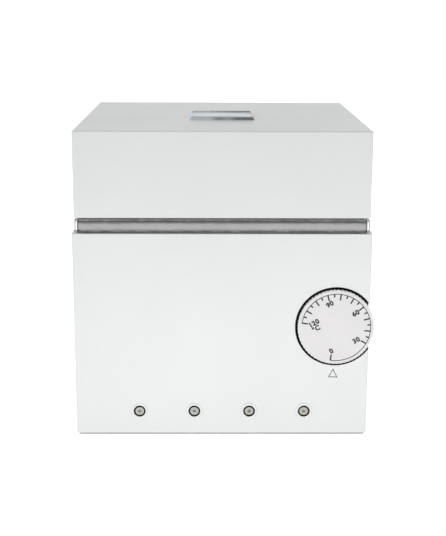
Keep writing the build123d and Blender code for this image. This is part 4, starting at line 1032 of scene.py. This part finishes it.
@dataclass(frozen=True)
class DialPrint:
    """The printed scale on the dial's face, in plain numbers."""

    scale_radius: float = 0.02335
    arc_width: float = 0.0005
    arc_steps: int = 90
    long_tick: float = 0.0041
    short_tick: float = 0.0022
    tick_width: float = 0.00095
    thickness: float = 0.00003
    tick_factor: float = 1.4
    zero_angle: float = -98.45
    thirty_angle: float = -28.45
    last_angle: float = 172.2
    first_mark: int = 30
    last_mark: int = 120
    mark_step: int = 5
    long_step: int = 10
    numeral_height: float = 0.0046
    numeral_tilt: float = 30.0
    bold: float = 0.00023
    spacing: float = 1.12
    numerals: tuple[tuple[str, Point], ...] = (
        ("0", (-0.00281, -0.01666)), ("30", (0.0139, -0.009)), ("60", (0.01301, 0.01)),
        ("90", (-0.00456, 0.01626)), ("120", (-0.01508, 0.00295)), ("°C", (-0.01345, -0.00082)))

    def angle(self, mark: float) -> float:
        """Find where a mark stands.

        Args:
            mark: Degrees Celsius, from 30 to 120.

        Returns:
            Its angle in degrees, anticlockwise from the right.
        """
        share = (mark - self.first_mark) / (self.last_mark - self.first_mark)
        return self.thirty_angle + share * (self.last_angle - self.thirty_angle)

    def arc(self, sheet: PrintSheet) -> None:
        """Add the thin arc that joins the ticks.

        Args:
            sheet: What it is printed on.
        """
        sweep = self.last_angle - self.zero_angle
        angles = [self.zero_angle + sweep * step / self.arc_steps
                  for step in range(self.arc_steps + 1)]
        outer, inner = ([sheet.at(self.scale_radius + offset, angle) for angle in angles]
                        for offset in (self.arc_width / 2, -self.arc_width / 2))
        sheet.outline(outer + inner[::-1], self.thickness)

    def tick(self, sheet: PrintSheet, degrees: float, length: float) -> None:
        """Add one tick that runs inwards from the arc.

        Args:
            sheet: What it is printed on.
            degrees: The tick's angle.
            length: Its length.
        """
        turn = math.radians(degrees)
        side = Vector((-math.sin(turn), math.cos(turn))) * self.tick_width / 2
        top = Vector(sheet.at(self.scale_radius, degrees))
        foot = Vector(sheet.at(self.scale_radius - length, degrees))
        corners = [top + side, top - side, foot - side, foot + side]
        sheet.outline(corners, self.tick_factor * self.thickness)

    def numeral(self, sheet: PrintSheet, text: str, offset: Point) -> None:
        """Add one number.

        Args:
            sheet: What it is printed on.
            text: What it says.
            offset: Its middle, from the centre of the dial.
        """
        curve = bpy.data.curves.new("numeral", "FONT")
        curve.body = text
        curve.size = self.numeral_height
        curve.bevel_depth = self.bold
        curve.bevel_resolution = 0
        curve.space_character = self.spacing
        curve.align_x = "CENTER"
        curve.align_y = "CENTER"
        holder = add_object("numeral", curve)
        bpy.context.view_layer.update()
        data = bpy.data.meshes.new_from_object(holder)
        bpy.data.objects.remove(holder)
        flat = Matrix.Diagonal((1.0, 1.0, self.thickness / (2 * self.bold), 1.0))
        upright = Matrix.Rotation(math.pi / 2, 4, "X")
        tilt = Matrix.Rotation(math.radians(self.numeral_tilt), 4, "Z")
        right, up = (middle + part for middle, part in zip(sheet.centre, offset))
        shift = Matrix.Translation((right, sheet.surface - self.thickness / 2, up))
        data.transform(shift @ upright @ tilt @ flat)
        sheet.mesh.from_mesh(data)
        bpy.data.meshes.remove(data)

    def build(self, centre: Point, surface: float, ink: bpy.types.Material) -> None:
        """Build the scale and its numbers on the dial.

        Args:
            centre: The dial's centre as (x, z).
            surface: The face's y.
            ink: The print's finish.
        """
        scale = PrintSheet(surface, centre)
        self.arc(scale)
        self.tick(scale, self.zero_angle, self.long_tick)
        for mark in range(self.first_mark, self.last_mark + 1, self.mark_step):
            length = self.short_tick if mark % self.long_step else self.long_tick
            self.tick(scale, self.angle(mark), length)
        scale.settle("dial_scale", Body.DIAL, ink)
        numbers = PrintSheet(surface, centre)
        for text, offset in self.numerals:
            self.numeral(numbers, text, offset)
        numbers.settle("dial_numbers", Body.DIAL, ink)


@dataclass(frozen=True)
class Pointer:
    """The outline triangle printed on the front, under the dial."""

    apex: Point = (0.0759, 0.0523)
    left: Point = (0.0727, 0.0460)
    right: Point = (0.0791, 0.0457)
    line: float = 0.00048
    thickness: float = 0.00003

    def build(self, surface: float, ink: bpy.types.Material) -> None:
        """Build the triangle as one closed line.

        Args:
            surface: The panel's y.
            ink: The print's finish.
        """
        corners = [Vector(self.apex), Vector(self.left), Vector(self.right)]
        middle = sum(corners, Vector((0.0, 0.0))) / 3
        shrink = 1.0 - self.line / self.inradius(corners)
        sheet = PrintSheet(surface)
        for index, start in enumerate(corners):
            end = corners[(index + 1) % len(corners)]
            inner_end, inner_start = (middle + (point - middle) * shrink for point in (end, start))
            sheet.outline([start, end, inner_end, inner_start], self.thickness)
        sheet.settle("dial_pointer", Body.BASE, ink)

    @staticmethod
    def inradius(corners: list[Vector]) -> float:
        """Find the circle that touches a triangle's sides from inside.

        Args:
            corners: The triangle's corners.

        Returns:
            The circle's radius.
        """
        sides = [(corners[index - 1] - corner).length for index, corner in enumerate(corners)]
        half = sum(sides) / 2
        area = math.sqrt(half * math.prod(half - side for side in sides))
        return area / half


@dataclass(frozen=True)
class Assembly:
    """CAD nodes that keep their shapes and take the finishes of their slots."""

    nodes: tuple[str, ...] = ()

    def build(self, wardrobe: Wardrobe) -> None:
        """Dress the nodes."""
        wardrobe.dress(*self.nodes)


@dataclass(frozen=True)
class Housing(Assembly):
    """The painted body, its tray, feet, front screws and back, and the triangle on its front."""

    nodes: tuple[str, ...] = (
        "body_shell", "rear_panel", "base_tray", "feet", "foot_screws", "foot_nuts", "screw_cups",
        "front_nuts", "rear_screws", "inlet_socket", "inlet_pins", "inlet_screws",
        "rear_panel_nuts", "hinge_body_leaves", "hinge_pins", "hinge_body_screws")
    turned: tuple[str, ...] = ("front_screws",)
    pointer: Pointer = Pointer()

    def build(self, wardrobe: Wardrobe) -> None:
        """Dress the housing and print the triangle.

        Args:
            wardrobe: The finishes.
        """
        super().build(wardrobe)
        wardrobe.dress(*self.turned, finish=OwnFinish.SCREW_STEEL)
        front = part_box("body_shell")[0].y
        self.pointer.build(front, wardrobe.ink)


@dataclass(frozen=True)
class Deck(Assembly):
    """The steel deck with its rim, and the heating well under it."""

    nodes: tuple[str, ...] = ("deck", "deck_screws", "heating_well", "well_gasket", "well_screws")


@dataclass(frozen=True)
class Works(Assembly):
    """What the housing hides: heater, insulation, thermostat and wiring."""

    nodes: tuple[str, ...] = (
        "band_heater", "heater_clamp_bolt", "heater_terminals", "insulation_wrap",
        "insulation_disc", "heat_shield", "shield_standoffs", "shield_nuts", "thermostat_bracket",
        "thermostat_case", "thermostat_switch", "thermostat_nut", "sensor_bulb", "capillary_tube",
        "bulb_clip", "thermal_cutout", "floor_screws", "earth_stud", "earth_lug", "earth_nut",
        "lead_live", "lead_switched", "lead_cutout", "lead_neutral", "lead_earth")


@dataclass(frozen=True)
class Lid(Assembly):
    """The white lid with its badge, bumpers and half of its hinges."""

    nodes: tuple[str, ...] = (
        "lid_shell", "lid_bumpers", "lid_badge", "badge_clips", "hinge_lid_leaves",
        "hinge_lid_screws", "hinge_lid_nuts")


@dataclass(frozen=True)
class Dial(Assembly):
    """The knob, its face with the printed scale, and its spindle."""

    nodes: tuple[str, ...] = ("dial_knob", "thermostat_spindle")
    face: str = "dial_plate"
    scale: DialPrint = DialPrint()

    def build(self, wardrobe: Wardrobe) -> None:
        """Dress the dial and print its scale.

        Args:
            wardrobe: The finishes.
        """
        super().build(wardrobe)
        wardrobe.dress(self.face, finish=OwnFinish.DIAL_FACE)
        low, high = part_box(self.face)
        centre = ((low.x + high.x) / 2, (low.z + high.z) / 2)
        self.scale.build(centre, low.y, wardrobe.ink)


@dataclass(frozen=True)
class WaxPot(Assembly):
    """The lift-out pot and its bail."""

    nodes: tuple[str, ...] = ("wax_pot", "pot_ears", "pot_bail")


@dataclass(frozen=True)
class Studio:
    """The plain floor, the soft light and the camera."""

    camera_place: Place = (-0.00752, -0.83296, 0.30198)
    camera_yaw: float = 0.626
    camera_pitch: float = 13.739
    camera_roll: float = 0.22
    lens: float = 75.884
    sensor: float = 36.0
    floor_size: float = 6.0
    floor_cells: int = 8
    floor_colour: Colour = (0.86, 0.86, 0.86)
    floor_roughness: float = 0.9
    floor_lift: float = 0.8
    horizon: float = 0.9
    zenith: float = 0.54
    zenith_height: float = 0.9
    lamp_place: Place = (1.1, -1.5, 1.3)
    lamp_target: Place = (0.0, 0.0, 0.1)
    lamp_power: float = 1.2
    lamp_size: Span = (0.9, 0.9)
    low_place: Place = (0.0, -0.31, 0.05)
    low_power: float = 0.26
    low_size: Span = (0.7, 0.06)

    def camera(self) -> None:
        """Create the camera at the photograph's viewing angle."""
        data = bpy.data.cameras.new("camera")
        data.sensor_width = self.sensor
        data.lens = self.lens
        camera = add_object("camera", data)
        turn = Matrix.Rotation(math.radians(-self.camera_yaw), 4, "Z")
        tip = Matrix.Rotation(math.radians(90.0 - self.camera_pitch), 4, "X")
        roll = Matrix.Rotation(math.radians(self.camera_roll), 4, "Z")
        camera.matrix_world = Matrix.Translation(self.camera_place) @ turn @ tip @ roll
        bpy.context.scene.camera = camera

    @staticmethod
    def seen(graph: Graph) -> Socket:
        """Find whether the background is seen directly, in a reflection or through glass.

        Args:
            graph: The tree that needs it.

        Returns:
            1 where it is, else 0.
        """
        path = graph.add("LightPath")
        mirrored = graph.maths("MAXIMUM", path.outputs["Is Camera Ray"],
                               path.outputs["Is Glossy Ray"])
        return graph.maths("MAXIMUM", mirrored, path.outputs["Is Transmission Ray"])

    def floor(self) -> None:
        """Lay a pale floor that keeps the object's shadow."""
        mesh = bmesh.new()
        bmesh.ops.create_grid(mesh, x_segments=self.floor_cells, y_segments=self.floor_cells,
                              size=self.floor_size / 2)
        data = bpy.data.meshes.new("floor")
        mesh.to_mesh(data)
        mesh.free()
        material = bpy.data.materials.new("pale_floor")
        material.use_nodes = True
        graph = Graph(material.node_tree)
        shader = material.node_tree.nodes["Principled BSDF"]
        shader.inputs["Base Color"].default_value = (*self.floor_colour, 1.0)
        shader.inputs["Roughness"].default_value = self.floor_roughness
        shader.inputs["Specular IOR Level"].default_value = 0.0
        shader.inputs["Emission Color"].default_value = WHITE
        lift = graph.maths("MULTIPLY", self.seen(graph), self.floor_lift)
        graph.join(lift, shader.inputs["Emission Strength"])
        data.materials.append(material)
        add_object("floor", data)

    def sky(self) -> None:
        """Light the room from all round, brighter at the horizon than overhead."""
        world = bpy.data.worlds.new("studio")
        world.use_nodes = True
        bpy.context.scene.world = world
        graph = Graph(world.node_tree)
        background = world.node_tree.nodes["Background"]
        upward = graph.parts(graph.add("TexCoord").outputs["Generated"])[2]
        level = graph.remap(upward, 0.0, self.zenith_height, self.horizon, self.zenith)
        is_camera = graph.add("LightPath").outputs["Is Camera Ray"]
        strength = graph.mix(Mixed.NUMBERS, is_camera, level, 1.0)
        graph.join(strength, background.inputs["Strength"])
        background.inputs["Color"].default_value = WHITE

    @staticmethod
    def lamp(place: Vector, target: Vector, power: float, size: Span) -> bpy.types.Object:
        """Hang one soft box.

        Args:
            place: Its middle.
            target: What it points at.
            power: Its power in watts.
            size: Its width and height.

        Returns:
            The lamp.
        """
        data = bpy.data.lights.new("soft_box", "AREA")
        data.energy = power
        data.shape = "RECTANGLE"
        data.size, data.size_y = size
        lamp = add_object("soft_box", data)
        turn = (target - place).to_track_quat("-Z", "Y").to_matrix().to_4x4()
        lamp.matrix_world = Matrix.Translation(place) @ turn
        return lamp

    def lamps(self) -> None:
        """Hang a soft box to each side in front, and lay a long low one between them."""
        right, front, up = self.lamp_place
        for side in (-right, right):
            place = Vector((side, front, up))
            self.lamp(place, Vector(self.lamp_target), self.lamp_power, self.lamp_size)
        place = Vector(self.low_place)
        low = self.lamp(place, Vector((0.0, 0.0, place.z)), self.low_power, self.low_size)
        low.visible_camera = False
        low.visible_glossy = False

    def build(self) -> None:
        """Set up the whole studio."""
        bpy.context.scene.view_settings.view_transform = "Standard"
        self.camera()
        self.floor()
        self.sky()
        self.lamps()


def main() -> None:
    """Build the studio, dress the model and add its printed pieces."""
    logging.basicConfig(level=logging.INFO, format="%(name)s: %(message)s")
    Studio().build()
    wardrobe = Wardrobe()
    for assembly in (Housing(), Deck(), Works(), Lid(), Dial(), WaxPot()):
        assembly.build(wardrobe)


if __name__ == "__main__":
    main()
